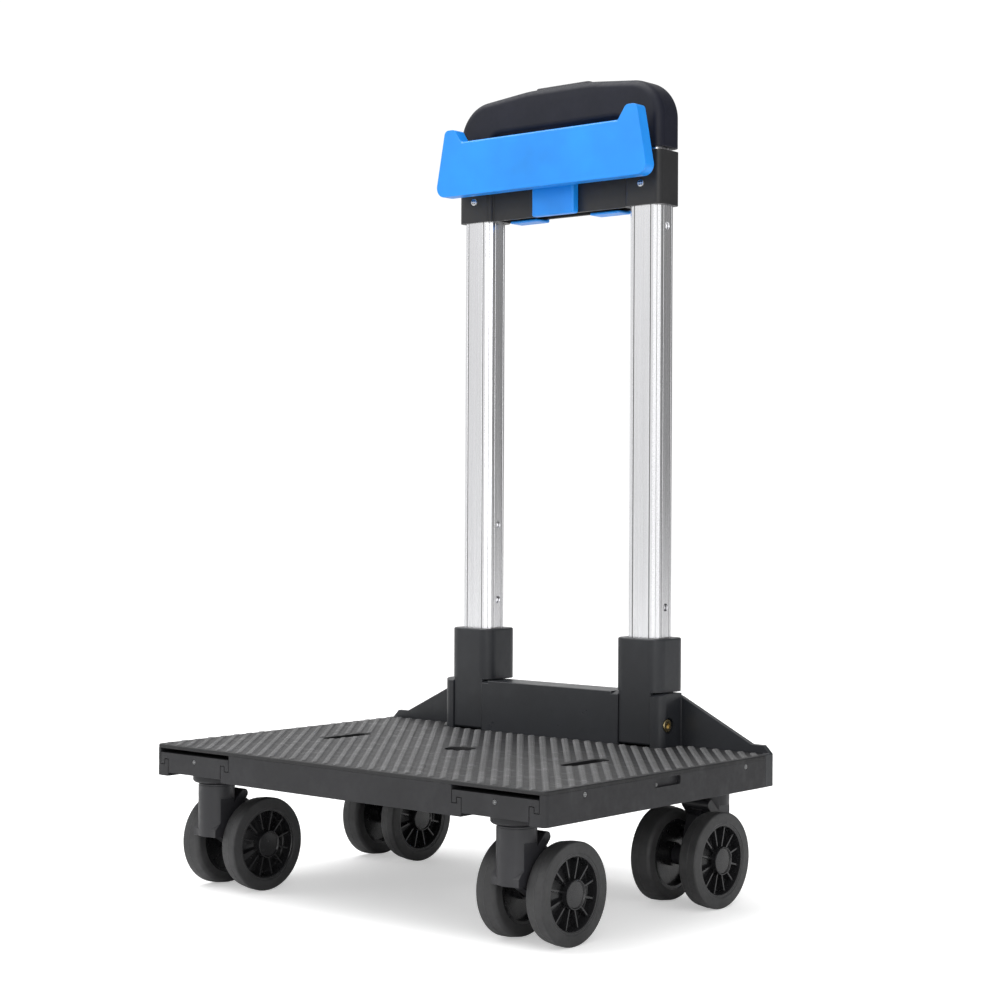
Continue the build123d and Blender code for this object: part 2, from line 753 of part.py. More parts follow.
def spin_about_axle(face):
    """Turn a face drawn as (distance from the axle, X) into a round solid on the axle."""
    solid = revolve(Plane.XZ * face, Axis.Z)
    return Pos(0, trail, axle_z) * Rot(0, 90, 0) * solid


def tyre():
    """The tyre on the +X side of the caster body."""
    face = Pos((tyre_bore + wheel_radius) / 2, (wheel_inner + wheel_outer) / 2) * Rectangle(
        wheel_radius - tyre_bore, wheel_outer - wheel_inner)
    outer_corner = face.vertices().group_by(Axis.Y)[-1].sort_by(Axis.X)[-1]
    face = fillet(outer_corner, tyre_outer_round)
    inner_corner = face.vertices().group_by(Axis.Y)[0].sort_by(Axis.X)[-1]
    face = fillet(inner_corner, tyre_inner_round)
    return spin_about_axle(face)


def ring_face(r0, r1, x0, x1):
    return Pos((r0 + r1) / 2, (x0 + x1) / 2) * Rectangle(r1 - r0, x1 - x0)


def wheel_core():
    """Rim, web, spokes and hub of the wheel on the +X side, with its snap-in cap."""
    bore = axle_radius + spin_clearance
    rim = spin_about_axle(ring_face(tyre_bore - rim_wall, tyre_bore, wheel_inner + rim_inset,
                                    wheel_outer - rim_inset))
    web = spin_about_axle(ring_face(bore, tyre_bore - rim_wall / 2, hub_web_in, hub_web_in + hub_web))
    hub = spin_about_axle(ring_face(bore, hub_radius, wheel_inner + hub_inset, hub_outer))
    shape = rim + web + hub
    for i in range(spoke_count):
        spoke = block(hub_web_in + 1, spoke_outer, -spoke_thickness / 2, spoke_thickness / 2,
                      hub_radius - 1, tyre_bore - rim_wall / 2)
        shape += Pos(0, trail, axle_z) * Rot(360 / spoke_count * (i + 0.5), 0, 0) * spoke
    head_room = axle_head_radius + axle_head_room
    shape -= spin_about_axle(ring_face(0, cap_radius + 0.2, hub_outer, spoke_outer + 1))
    shape -= spin_about_axle(ring_face(0, head_room, axle_half_length - 0.1, hub_outer + 1))
    cap = spin_about_axle(ring_face(0, cap_radius, hub_outer, cap_face))
    cap = fillet(cap.edges().group_by(Axis.X)[-1], cap_round)
    dish_radius = cap_radius - cap_rim
    cap -= spin_about_axle(ring_face(0, dish_radius, cap_face - cap_dish, cap_face + 1))
    return shape, cap


def place_caster(shape, name):
    """Put a piece of the caster at its corner; the rear pair trails towards the front."""
    sign = -1 if name.endswith("left") else 1
    if name.startswith("front"):
        return Pos(sign * arm_x, front_kingpin_y, 0) * shape
    return Pos(sign * arm_x, rear_kingpin_y, 0) * Rot(0, 0, 180) * shape


caster_body_shape = caster_body()
kingpin_shape = kingpin()
axle_shape = axle()
tyre_shape = tyre()
core_shape, cap_shape = wheel_core()
for corner in ("front_left", "front_right", "rear_left", "rear_right"):
    save(f"caster_body_{corner}", place_caster(caster_body_shape, corner))
    save(f"kingpin_{corner}", place_caster(kingpin_shape, corner))
    save(f"axle_{corner}", place_caster(axle_shape, corner))
    on_right = corner.endswith("right")
    turned = corner.startswith("rear")
    for side in ("inner", "outer"):
        towards_x = (side == "outer") == on_right
        flip = towards_x == turned
        pieces = [tyre_shape, core_shape, cap_shape]
        if flip:
            pieces = [mirrored(piece) for piece in pieces]
        placed = [place_caster(piece, corner) for piece in pieces]
        save(f"tyre_{corner}_{side}", placed[0])
        save(f"wheel_{corner}_{side}", placed[1], placed[2])


# ---- mast feet: a sleeve for the tube above, a hinged tongue below ----
def foot():
    sleeve = column(mast_x, mast_y, sleeve_bottom, sleeve_top, sleeve_width, sleeve_depth, sleeve_corner)
    sleeve = fillet(sleeve.faces().sort_by(Axis.Z)[-1].edges(), sleeve_rim_round)
    front = sleeve_front - hinge_y
    swing = tongue_swing_radius
    top = sleeve_bottom + 1 - hinge_z
    outline = Line((front, top), (front, -swing + tongue_corner))
    outline += RadiusArc((front, -swing + tongue_corner), (front + tongue_corner, -swing), -tongue_corner)
    outline += Line((front + tongue_corner, -swing), (0, -swing))
    outline += RadiusArc((0, -swing), (swing, 0), -swing)
    outline += Line((swing, 0), (swing, top))
    outline += Line((swing, top), (front, top))
    face = Pos(hinge_y, hinge_z) * make_face(outline)
    tongue = side_profile(face, mast_x - tongue_width / 2, mast_x + tongue_width / 2)
    shape = sleeve + tongue
    shape -= column(mast_x, mast_y, tube_bottom, sleeve_top + 1, tube_width, tube_depth, tube_corner)
    shape -= rod_x(mast_x - tongue_width, mast_x + tongue_width, hinge_y, hinge_z,
                   hinge_radius + hinge_clearance)
    shape -= rod_y(mast_x, mast_y + tube_depth / 2 - 1, sleeve_rear + 1, foot_screw_z, screw_radius)
    shape -= rod_y(mast_x, sleeve_rear - screw_head_height, sleeve_rear + 1, foot_screw_z, screw_head_radius)
    return shape


def foot_screw():
    head = rod_y(mast_x, sleeve_rear - screw_head_height, sleeve_rear, foot_screw_z, screw_head_radius)
    tip = mast_y + tube_depth / 2 - tube_wall
    return head + rod_y(mast_x, tip, sleeve_rear - screw_head_height, foot_screw_z, screw_radius)


# ---- outer tubes: fixed lower section of the telescopic mast ----
def outer_tube():
    shape = column(mast_x, mast_y, tube_bottom, tube_top, tube_width, tube_depth, tube_corner)
    shape -= column(mast_x, mast_y, tube_bottom - 1, tube_top + 1, cavity_width, cavity_depth, cavity_corner)
    outside = mast_x + tube_width / 2
    inside = mast_x - tube_width / 2
    for z in (lower_hole_z, upper_hole_z):
        shape -= rod_x(outside - tube_wall - 1, outside + 1, mast_y, z, lock_hole_radius)
    for z in (lower_hole_z, middle_hole_z):
        shape -= rod_x(inside - 1, inside + tube_wall + 1, mast_y, z, lock_hole_radius)
    shape -= rod_y(mast_x, mast_y + tube_depth / 2 - tube_wall - 1, mast_y + tube_depth / 2 + 1,
                   foot_screw_z, screw_radius)
    shape -= rod_y(mast_x, mast_y - tube_depth / 2 - 1, mast_y - tube_depth / 2 + tube_wall + 1,
                   collar_screw_z, screw_radius)
    return shape


# ---- crossbar: two collars on the tube tops, joined by a beam ----
def crossbar():
    def collar(x):
        return column(x, mast_y, collar_bottom, collar_top, collar_width, collar_depth, collar_corner)
    shape = collar(-mast_x) + collar(mast_x)
    beam = block(-mast_x, mast_x, beam_front, beam_rear, collar_bottom, collar_top)
    shape += beam
    shape -= block(-beam_half_length + beam_shell, beam_half_length - beam_shell, beam_front + beam_shell,
                   beam_rear - beam_shell, collar_bottom - 1, collar_top - beam_shell)
    for sign in (-1, 1):
        x = sign * mast_x
        shape -= column(x, mast_y, collar_bottom - 1, tube_top, tube_width, tube_depth, tube_corner)
        shape -= column(x, mast_y, tube_top - 1, collar_top + 1, inner_width + 2 * guide_gap,
                        inner_depth + 2 * guide_gap, inner_corner + guide_gap)
        shape -= rod_y(x, collar_front - 1, mast_y - tube_depth / 2 + 1, collar_screw_z, screw_radius)
        shape -= rod_y(x, collar_front - 1, collar_front + collar_screw_sink, collar_screw_z,
                       screw_head_radius)
    return shape


def collar_screw():
    tip = mast_y - tube_depth / 2 + tube_wall
    seat = collar_front + collar_screw_sink
    head = rod_y(mast_x, collar_front - collar_screw_proud, seat, collar_screw_z, screw_head_radius)
    return head + rod_y(mast_x, seat, tip, collar_screw_z, screw_radius)


# ---- bag hook plate: a wide plate in front of the crossbar, on a saddle that clips over the beam ----
def hook_plate():
    horn_inner = plate_half_top - plate_horn_width
    outline = Polygon(
        (0, plate_bottom), (plate_half_bottom, plate_bottom), (plate_half_top, plate_horn_top),
        (horn_inner, plate_horn_top), (horn_inner - plate_horn_slope, plate_top), (0, plate_top), align=None)
    plate = front_profile(outline, plate_front, plate_rear)
    plate = fillet(plate.edges().filter_by(Axis.Y).sort_by(Axis.X)[-1], plate_corner)
    plate = fillet(plate.edges().filter_by(Axis.Y).group_by(Axis.Z)[-1], plate_horn_round)
    plate = plate + mirrored(plate)
    seat = collar_top + saddle_gap
    clip_rear = beam_rear + saddle_gap
    bridge = block(-saddle_half_width, saddle_half_width, plate_rear - 1, clip_rear, seat,
                   seat + saddle_thickness)
    yoke_half = clip_half_spacing + clip_width / 2
    yoke = block(-yoke_half, yoke_half, beam_front + 2, clip_rear + clip_thickness, seat,
                 seat + saddle_thickness)
    tab_rear = beam_front - saddle_gap
    tab = block(-saddle_half_width, saddle_half_width, tab_rear - saddle_tab_depth, tab_rear,
                collar_bottom - 1, seat + saddle_thickness)
    shape = plate + bridge + yoke + tab
    for x in (-saddle_half_width + saddle_rib / 2, 0, saddle_half_width - saddle_rib / 2):
        shape += block(x - saddle_rib / 2, x + saddle_rib / 2, plate_rear - 1,
                       tab_rear - saddle_tab_depth + 1, plate_bottom + saddle_rib_lift, seat + 1)
    toe_top = collar_bottom - saddle_gap
    for x in (-clip_half_spacing, clip_half_spacing):
        shape += block(x - clip_width / 2, x + clip_width / 2, clip_rear, clip_rear + clip_thickness,
                       toe_top - clip_toe_height, seat + 1)
        shape += block(x - clip_width / 2, x + clip_width / 2, clip_rear + clip_thickness - clip_toe,
                       clip_rear + clip_thickness, toe_top - clip_toe_height, toe_top)
    return shape


save("foot_right", foot())
save("foot_left", mirrored(foot()))
save("foot_screws", foot_screw(), mirrored(foot_screw()))
save("outer_tube_right", outer_tube())
save("outer_tube_left", mirrored(outer_tube()))
save("crossbar", crossbar())
save("collar_screws", collar_screw(), mirrored(collar_screw()))
save("hook_plate", hook_plate())


# ---- inner tubes: sliding section of the telescopic mast ----
def inner_tube():
    shape = column(mast_x, mast_y, inner_bottom, grip_tube_top, inner_width, inner_depth, inner_corner)
    shape -= column(mast_x, mast_y, inner_bottom - 1, grip_tube_top + 1, core_width, core_depth, core_corner)
    outside = mast_x + inner_width / 2
    shape -= rod_x(outside - inner_wall - 1, outside + 1, mast_y, lower_hole_z, lock_hole_radius)
    return shape


def lock_housing():
    """Plug in the foot of the inner tube: it guides the tube and holds the lock pin."""
    flange = column(mast_x, mast_y, inner_bottom - guide_flange, inner_bottom,
                    cavity_width - 2 * guide_gap, cavity_depth - 2 * guide_gap, cavity_corner - guide_gap)
    body = column(mast_x, mast_y, inner_bottom, inner_bottom + plug_height, core_width, core_depth,
                  core_corner)
    shape = flange + body
    root = mast_x + lock_pin_root - lock_pin_stroke - 0.5
    shape -= rod_x(root, mast_x + core_width, mast_y, lower_hole_z, lock_pin_radius + lock_pin_bore_gap)
    shape -= post(mast_x, mast_y, lower_hole_z + rod_pocket_above_hole, inner_bottom + plug_height + 1,
                  rod_radius + rod_gap)
    return shape


def lock_pin():
    tip = mast_x + cavity_width / 2 - lock_pin_tip_gap
    pin = rod_x(mast_x + lock_pin_root, tip, mast_y, lower_hole_z, lock_pin_radius)
    return chamfer(pin.edges().sort_by(Axis.X)[-1], lock_pin_chamfer)


# ---- grip: an arch over both tubes, with a cover under its bar ----
def grip_upper():
    half = mast_x + grip_leg_width / 2
    opening = mast_x - grip_leg_width / 2
    front = mast_y - grip_depth / 2
    rear = mast_y + grip_depth / 2
    shoulder = grip_top - grip_shoulder_drop
    outline = Polygon((-half, grip_bottom), (half, grip_bottom), (half, shoulder), (grip_flat_half, grip_top),
                      (-grip_flat_half, grip_top), (-half, shoulder), align=None)
    outline = fillet([v for v in outline.vertices() if v.Y > shoulder + 0.1], grip_flat_end_round)
    outline = fillet([v for v in outline.vertices() if abs(v.Y - shoulder) < 0.1], grip_outer_round)
    arch = front_profile(outline, front, rear)
    window = block(-opening, opening, front - 1, rear + 1, grip_bottom - 1, grip_bar_bottom)
    window = fillet(window.edges().filter_by(Axis.Y).group_by(Axis.Z)[-1], grip_inner_round)
    arch -= window
    long_edges = arch.faces().filter_by(Axis.Y).edges().filter_by(
        lambda e: e.center().Z > grip_bottom + 0.1)
    arch = fillet(long_edges, grip_edge_round)
    channel_front = mast_y - grip_channel_width / 2
    channel_rear = mast_y + grip_channel_width / 2
    reach = mast_x + rod_radius + push_bar_overhang + push_bar_room
    arch -= block(-reach, reach, channel_front, channel_rear, grip_cover_top, push_bar_top + push_bar_room)
    flange_half = button_length / 2 + button_flange + button_gap
    arch -= block(-flange_half, flange_half, channel_front, channel_rear, grip_cover_top, grip_channel_top)
    cover_half = opening - grip_cover_inset
    arch -= block(-cover_half, cover_half, channel_front, channel_rear, grip_bar_bottom - 1,
                  grip_cover_top + 1)
    arch -= column(0, mast_y, grip_channel_top - 1, grip_top + 1, button_length + 2 * button_gap,
                   button_width + 2 * button_gap, button_corner + button_gap)
    for sign in (-1, 1):
        arch += post(sign * grip_boss_x, mast_y, grip_cover_top, push_bar_top + 1, grip_boss_radius)
        arch -= post(sign * grip_boss_x, mast_y, grip_cover_top - 1, grip_bar_bottom + grip_screw_reach,
                     grip_screw_radius)
        arch -= column(sign * mast_x, mast_y, grip_bottom - 1, grip_tube_top, inner_width, inner_depth,
                       inner_corner)
        arch -= post(sign * mast_x, mast_y, grip_tube_top - 1, grip_cover_top + 1, rod_radius + 1)
    return arch


def grip_lower():
    """Cover that closes the grip's channel from below and holds the spring."""
    half = mast_x - grip_leg_width / 2 - grip_cover_inset - grip_cover_gap
    depth = grip_channel_width / 2 - grip_cover_gap
    shape = block(-half, half, mast_y - depth, mast_y + depth, grip_bar_bottom, grip_cover_top)
    long_edges = shape.faces().sort_by(Axis.Z)[0].edges().filter_by(Axis.X)
    shape = fillet(long_edges, grip_cover_round)
    shape -= post(0, mast_y, spring_bottom, grip_cover_top + 1, spring_radius + 2 * spring_wire + 0.3)
    for sign in (-1, 1):
        x = sign * grip_boss_x
        shape -= post(x, mast_y, grip_bar_bottom - 1, grip_cover_top + 1, grip_screw_radius)
        shape -= post(x, mast_y, grip_bar_bottom - 1, grip_bar_bottom + grip_screw_head_height,
                      grip_screw_head)
    return shape


def grip_screw(sign):
    x = sign * grip_boss_x
    head_top = grip_bar_bottom + grip_screw_head_height
    head = post(x, mast_y, grip_bar_bottom, head_top, grip_screw_head)
    return head + post(x, mast_y, head_top, grip_bar_bottom + grip_screw_reach, grip_screw_radius)


# ---- release: a sprung button in the grip that pushes a bar and two rods down to the lock pins ----
def button():
    body = column(0, mast_y, push_bar_top, grip_top + button_proud, button_length, button_width,
                  button_corner)
    body = fillet(body.faces().sort_by(Axis.Z)[-1].edges(), button_round)
    half = button_length / 2 + button_flange
    depth = grip_channel_width / 2 - button_gap
    return body + block(-half, half, mast_y - depth, mast_y + depth, push_bar_top,
                        push_bar_top + button_flange_height)


def push_bar():
    """Bar across the grip with a long rod down each tube; it runs round the grip's two bosses."""
    half = mast_x + rod_radius + push_bar_overhang
    depth = push_bar_depth / 2
    shape = block(-half, half, mast_y - depth, mast_y + depth, push_bar_bottom, push_bar_top)
    for sign in (-1, 1):
        shape += post(sign * grip_boss_x, mast_y, push_bar_bottom, push_bar_top,
                      boss_hole_radius + push_bar_ring)
        shape -= post(sign * grip_boss_x, mast_y, push_bar_bottom - 1, push_bar_top + 1, boss_hole_radius)
        shape += post(sign * mast_x, mast_y, lower_hole_z + rod_above_hole, push_bar_bottom + 1, rod_radius)
    return shape


def button_spring():
    """Compression spring between the cover's pocket and the push bar."""
    start = spring_bottom + spring_wire + spring_gap
    height = push_bar_bottom - spring_bottom - 2 * (spring_wire + spring_gap)
    path = Helix(pitch=height / spring_turns, height=height, radius=spring_radius)
    wire = sweep(Plane(origin=path @ 0, z_dir=path % 0) * Circle(spring_wire), path=path)
    return Pos(0, mast_y, start) * wire


save("inner_tube_right", inner_tube())
save("inner_tube_left", mirrored(inner_tube()))
save("lock_housing_right", lock_housing())
save("lock_housing_left", mirrored(lock_housing()))
save("lock_pin_right", lock_pin())
save("lock_pin_left", mirrored(lock_pin()))
save("grip_upper", grip_upper())
save("grip_lower", grip_lower())
save("grip_screws", grip_screw(-1), grip_screw(1))
save("button", button())
save("push_bar", push_bar())
save("button_spring", button_spring())
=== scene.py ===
import json
import math

import bmesh
import bpy
from mathutils import Matrix, Vector


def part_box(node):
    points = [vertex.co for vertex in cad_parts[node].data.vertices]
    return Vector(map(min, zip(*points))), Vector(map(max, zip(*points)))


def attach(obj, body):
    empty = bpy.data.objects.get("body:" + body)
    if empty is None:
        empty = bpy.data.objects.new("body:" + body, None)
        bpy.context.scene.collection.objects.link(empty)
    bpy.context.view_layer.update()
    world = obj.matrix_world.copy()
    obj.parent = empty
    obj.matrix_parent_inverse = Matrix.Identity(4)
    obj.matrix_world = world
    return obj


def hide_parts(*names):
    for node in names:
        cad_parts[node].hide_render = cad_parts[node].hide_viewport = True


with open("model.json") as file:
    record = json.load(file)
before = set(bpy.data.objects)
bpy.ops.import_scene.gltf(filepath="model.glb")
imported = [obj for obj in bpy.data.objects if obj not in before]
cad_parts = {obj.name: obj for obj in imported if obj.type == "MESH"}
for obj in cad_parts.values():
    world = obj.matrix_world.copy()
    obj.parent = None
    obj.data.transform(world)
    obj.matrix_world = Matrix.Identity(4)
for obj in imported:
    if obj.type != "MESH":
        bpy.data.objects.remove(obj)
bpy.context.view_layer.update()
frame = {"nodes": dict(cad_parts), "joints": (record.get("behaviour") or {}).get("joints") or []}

MM = 0.001

# ---------------------------------------------------------------------------------------------
# Base frame: the ribbed tray under the deck, one injection moulding in dark grey polypropylene.
# It has rails for the two front arms, sockets for the rear casters and a shallow slot in each side.
# Its skin is fine spark-eroded grain, and every edge has the small round that a mould leaves.
# ---------------------------------------------------------------------------------------------


def add_node(tree, kind, x, y, **settings):
    """A node at a place in the tree, with its settings."""
    node = tree.nodes.new(kind)
    node.location = (x, y)
    for key, value in settings.items():
        setattr(node, key, value)
    return node


def new_material(name):
    """An empty node material with its output and Principled shader."""
    material = bpy.data.materials.new(name)
    material.use_nodes = True
    tree = material.node_tree
    tree.nodes.clear()
    output = add_node(tree, "ShaderNodeOutputMaterial", 900, 0)
    shader = add_node(tree, "ShaderNodeBsdfPrincipled", 600, 0)
    tree.links.new(shader.outputs["BSDF"], output.inputs["Surface"])
    return material, tree, shader


def noise(tree, coordinates, scale, detail, stretch=(1.0, 1.0, 1.0), x=-600, y=0):
    """Noise on the piece's own coordinates, in cycles per metre, stretched along an axis if wanted."""
    mapping = add_node(tree, "ShaderNodeMapping", x - 200, y)
    mapping.inputs["Scale"].default_value = stretch
    texture = add_node(tree, "ShaderNodeTexNoise", x, y)
    texture.inputs["Scale"].default_value = scale
    texture.inputs["Detail"].default_value = detail
    tree.links.new(coordinates.outputs["Object"], mapping.inputs["Vector"])
    tree.links.new(mapping.outputs["Vector"], texture.inputs["Vector"])
    return texture.outputs["Fac"]


def spread(tree, value, low, high, x=-300, y=0, start=0.3, end=0.7):
    """The middle of a noise's range brought to a range of values."""
    node = add_node(tree, "ShaderNodeMapRange", x, y)
    node.inputs["From Min"].default_value = start
    node.inputs["From Max"].default_value = end
    node.inputs["To Min"].default_value = low
    node.inputs["To Max"].default_value = high
    tree.links.new(value, node.inputs["Value"])
    return node.outputs["Result"]


def two_colours(tree, factor, first, second, x=-50, y=200):
    """Colour that goes from the first to the second with a factor."""
    mix = add_node(tree, "ShaderNodeMix", x, y, data_type="RGBA")
    mix.inputs["A"].default_value = (*first, 1.0)
    mix.inputs["B"].default_value = (*second, 1.0)
    tree.links.new(factor, mix.inputs["Factor"])
    return mix.outputs["Result"]


def bump(tree, shader, height, depth, strength=1.0):
    """Raises the surface by a height map."""
    node = add_node(tree, "ShaderNodeBump", 300, -300)
    node.inputs["Distance"].default_value = depth
    node.inputs["Strength"].default_value = strength
    tree.links.new(height, node.inputs["Height"])
    tree.links.new(node.outputs["Normal"], shader.inputs["Normal"])


def moulded_plastic(name, colour, roughness, grain=0.45 * MM, grain_depth=0.03 * MM, scuffs=0.10,
                    specular=0.5):
    """Moulded plastic: eroded grain, slow changes in tone, and faint rubbed patches."""
    material, tree, shader = new_material(name)
    place = add_node(tree, "ShaderNodeTexCoord", -1100, 0)
    tone = spread(tree, noise(tree, place, 14.0, 3.0, y=400), 0.0, 1.0, y=400)
    darker = [c * 0.82 for c in colour]
    lighter = [min(c * 1.15, 1.0) for c in colour]
    body = two_colours(tree, tone, darker, lighter)
    rub = spread(tree, noise(tree, place, 55.0, 6.0, stretch=(1.0, 1.7, 0.8), y=0), 0.0, 1.0,
                 start=0.52, end=0.72)
    rubbed = add_node(tree, "ShaderNodeMix", 200, 200, data_type="RGBA")
    tree.links.new(body, rubbed.inputs["A"])
    rubbed.inputs["B"].default_value = (*[min(c * 1.5 + 0.004, 1.0) for c in colour], 1.0)
    amount = add_node(tree, "ShaderNodeMath", 0, 50, operation="MULTIPLY")
    amount.inputs[1].default_value = scuffs * 3
    tree.links.new(rub, amount.inputs[0])
    tree.links.new(amount.outputs[0], rubbed.inputs["Factor"])
    tree.links.new(rubbed.outputs["Result"], shader.inputs["Base Color"])
    patches = noise(tree, place, 240.0, 4.0, y=-250)
    polish = spread(tree, patches, roughness + 0.05, roughness - 0.05, y=-250)
    less = add_node(tree, "ShaderNodeMath", 200, -100, operation="MULTIPLY_ADD")
    less.inputs[1].default_value = -scuffs
    tree.links.new(rub, less.inputs[0])
    tree.links.new(polish, less.inputs[2])
    tree.links.new(less.outputs[0], shader.inputs["Roughness"])
    grains = noise(tree, place, 1.0 / grain, 2.0, y=-550)
    bump(tree, shader, grains, grain_depth)
    shader.inputs["Specular IOR Level"].default_value = specular
    shader.inputs["IOR"].default_value = 1.49
    return material


def rubber(name, colours, roughness, tone, dust, grain, grain_depth, sheen=0.0, specular=0.5):
    """Rubber with clouds of tone, dust and a fine grain, each noise given by its scale and detail."""
    material, tree, shader = new_material(name)
    place = add_node(tree, "ShaderNodeTexCoord", -1100, 0)
    clouds = spread(tree, noise(tree, place, *tone, y=300), 0.0, 1.0, y=300)
    tree.links.new(two_colours(tree, clouds, *colours), shader.inputs["Base Color"])
    polish = spread(tree, noise(tree, place, *dust, y=-100), *roughness, y=-100)
    tree.links.new(polish, shader.inputs["Roughness"])
    bump(tree, shader, noise(tree, place, *grain, y=-400), grain_depth)
    shader.inputs["Sheen Weight"].default_value = sheen
    shader.inputs["Specular IOR Level"].default_value = specular
    return material


def merged_copy(node):
    """The node's mesh as one closed bmesh, with flat faces whole again instead of triangles."""
    solid = bmesh.new()
    solid.from_mesh(frame["nodes"][node].data)
    bmesh.ops.remove_doubles(solid, verts=solid.verts, dist=0.002 * MM)
    bmesh.ops.dissolve_limit(solid, angle_limit=math.radians(0.6), verts=solid.verts, edges=solid.edges)
    return solid


def finished(name, mesh_or_bmesh, material, smooth_angle=35.0):
    """A named object at the origin from a mesh in the frame's coordinates."""
    if isinstance(mesh_or_bmesh, bmesh.types.BMesh):
        mesh = bpy.data.meshes.new(name)
        mesh_or_bmesh.to_mesh(mesh)
        mesh_or_bmesh.free()
    else:
        mesh = mesh_or_bmesh
        mesh.name = name
    mesh.materials.clear()
    mesh.materials.append(material)
    mesh.shade_smooth()
    mesh.set_sharp_from_angle(angle=math.radians(smooth_angle))
    piece = bpy.data.objects.new(name, mesh)
    bpy.context.scene.collection.objects.link(piece)
    return piece


def bake_modifiers(piece):
    """Turns the piece and its modifiers into a plain mesh."""
    graph = bpy.context.evaluated_depsgraph_get()
    mesh = bpy.data.meshes.new_from_object(piece.evaluated_get(graph))
    piece.modifiers.clear()
    mesh.name = piece.name
    piece.data = mesh
    return piece


def gap(point, start, end):
    """Distance from a point to the line between two others."""
    along = end - start
    share = min(max((point - start).dot(along) / along.length_squared, 0.0), 1.0)
    return (start + along * share - point).length


def room_beside(edge):
    """How near the outlines of an edge's two faces come to the edge."""
    start, end = (vertex.co for vertex in edge.verts)
    room = edge.calc_length()
    for face in edge.link_faces:
        for other in face.edges:
            ends = [vertex for vertex in other.verts if vertex not in edge.verts]
            room = min([room] + [gap(vertex.co, start, end) for vertex in ends])
            if len(ends) == 2:
                room = min(room, *(gap(point, ends[0].co, ends[1].co) for point in (start, end)))
    return room


def smooth_runs(edges):
    """The edges sorted into runs that turn only gently from one edge to the next."""
    left = set(edges)
    runs = []
    while left:
        run = [left.pop()]
        for edge in run:
            for vertex in edge.verts:
                ahead = vertex.co - edge.other_vert(vertex).co
                for other in vertex.link_edges:
                    if other in left and ahead.angle(other.other_vert(vertex).co - vertex.co) < run_turn:
                        left.remove(other)
                        run.append(other)
        runs.append(run)
    return runs


sharp_angle = math.radians(32)
run_turn = math.radians(50)
room_share = 0.45


def softened(node, material, round_width, body):
    """A moulded copy of a node: every sharp edge gets a small round, then it stands for the node.
    A run of edges has one width, no wider than the narrowest place beside it leaves room for."""
    solid = merged_copy(node)
    layer = solid.edges.layers.float.new("bevel_weight_edge")
    sharp = [e for e in solid.edges if len(e.link_faces) == 2 and e.calc_face_angle(0.0) > sharp_angle]
    for run in smooth_runs(sharp):
        width = min(1.0, room_share * min(room_beside(edge) for edge in run) / round_width)
        for edge in run:
            edge[layer] = width
    piece = finished(node + "_moulding", solid, material)
    rounds = piece.modifiers.new("edge rounds", "BEVEL")
    rounds.width = round_width
    rounds.segments = 2
    rounds.limit_method = "WEIGHT"
    rounds.use_clamp_overlap = False
    flats = piece.modifiers.new("flat faces", "WEIGHTED_NORMAL")
    flats.weight = 100
    flats.keep_sharp = True
    bake_modifiers(piece)
    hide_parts(node)
    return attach(piece, body)


platform_plastic = moulded_plastic("platform plastic", (0.018, 0.018, 0.020), 0.52, specular=0.40)
softened("base_frame", platform_plastic, 0.5 * MM, "base")


# ---------------------------------------------------------------------------------------------
# Deck panel: the thin plate that carries the load, screwed down on the base frame.
# Its top has rows of low slanting ridges, like a rope laid flat, so that a box doesn't slide.
# The rows run slantwise across the deck and stop short of its edge, slots, hole and mast bracket.
# ---------------------------------------------------------------------------------------------
deck_plastic = moulded_plastic("deck plastic", (0.010, 0.010, 0.011), 0.55, grain=0.6 * MM,
                               grain_depth=0.05 * MM, scuffs=0.12)
# The ridges are the deck's plastic in a far lighter grey: partly wear, partly painted sheen that stands
# in for the light their crests catch.
ridge_wear_and_painted_sheen_plastic = moulded_plastic("deck ridges, lighter for wear and painted sheen", (0.125, 0.125, 0.127), 0.46,
                                grain=0.9 * MM, grain_depth=0.03 * MM, scuffs=0.16)
softened("deck_panel", deck_plastic, 0.25 * MM, "base")


def socket(tree, name, kind="NodeSocketFloat", direction="INPUT"):
    """A named input or output of a Geometry Nodes tree."""
    return tree.interface.new_socket(name, in_out=direction, socket_type=kind)


def geometry_tree(name):
    """A Geometry Nodes tree with its geometry in and out, and the two nodes that end it."""
    tree = bpy.data.node_groups.new(name, "GeometryNodeTree")
    socket(tree, "Geometry", "NodeSocketGeometry")
    socket(tree, "Geometry", "NodeSocketGeometry", "OUTPUT")
    start = add_node(tree, "NodeGroupInput", -900, 0)
    end = add_node(tree, "NodeGroupOutput", 900, 0)
    return tree, start, end


def close_tree(tree, end, instances, material):
    """Realizes the instances and gives them their material."""
    realize = add_node(tree, "GeometryNodeRealizeInstances", 500, 0)
    paint = add_node(tree, "GeometryNodeSetMaterial", 700, 0)
    paint.inputs["Material"].default_value = material
    tree.links.new(instances, realize.inputs["Geometry"])
    tree.links.new(realize.outputs["Geometry"], paint.inputs["Geometry"])
    tree.links.new(paint.outputs["Geometry"], end.inputs["Geometry"])


def grow(piece, tree, values):
    """Runs a tree on a piece with its named inputs set, and keeps the result as a plain mesh."""
    modifier = piece.modifiers.new("grown", "NODES")
    modifier.node_group = tree
    for item in tree.interface.items_tree:
        if item.item_type == "SOCKET" and item.in_out == "INPUT" and item.name in values:
            modifier[item.identifier] = values[item.name]
    return bake_modifiers(piece)


def points_piece(name, points):
    """An object that holds only points, for a tree to grow on."""
    mesh = bpy.data.meshes.new(name)
    mesh.from_pydata([tuple(p) for p in points], [], [])
    piece = bpy.data.objects.new(name, mesh)
    bpy.context.scene.collection.objects.link(piece)
    return piece


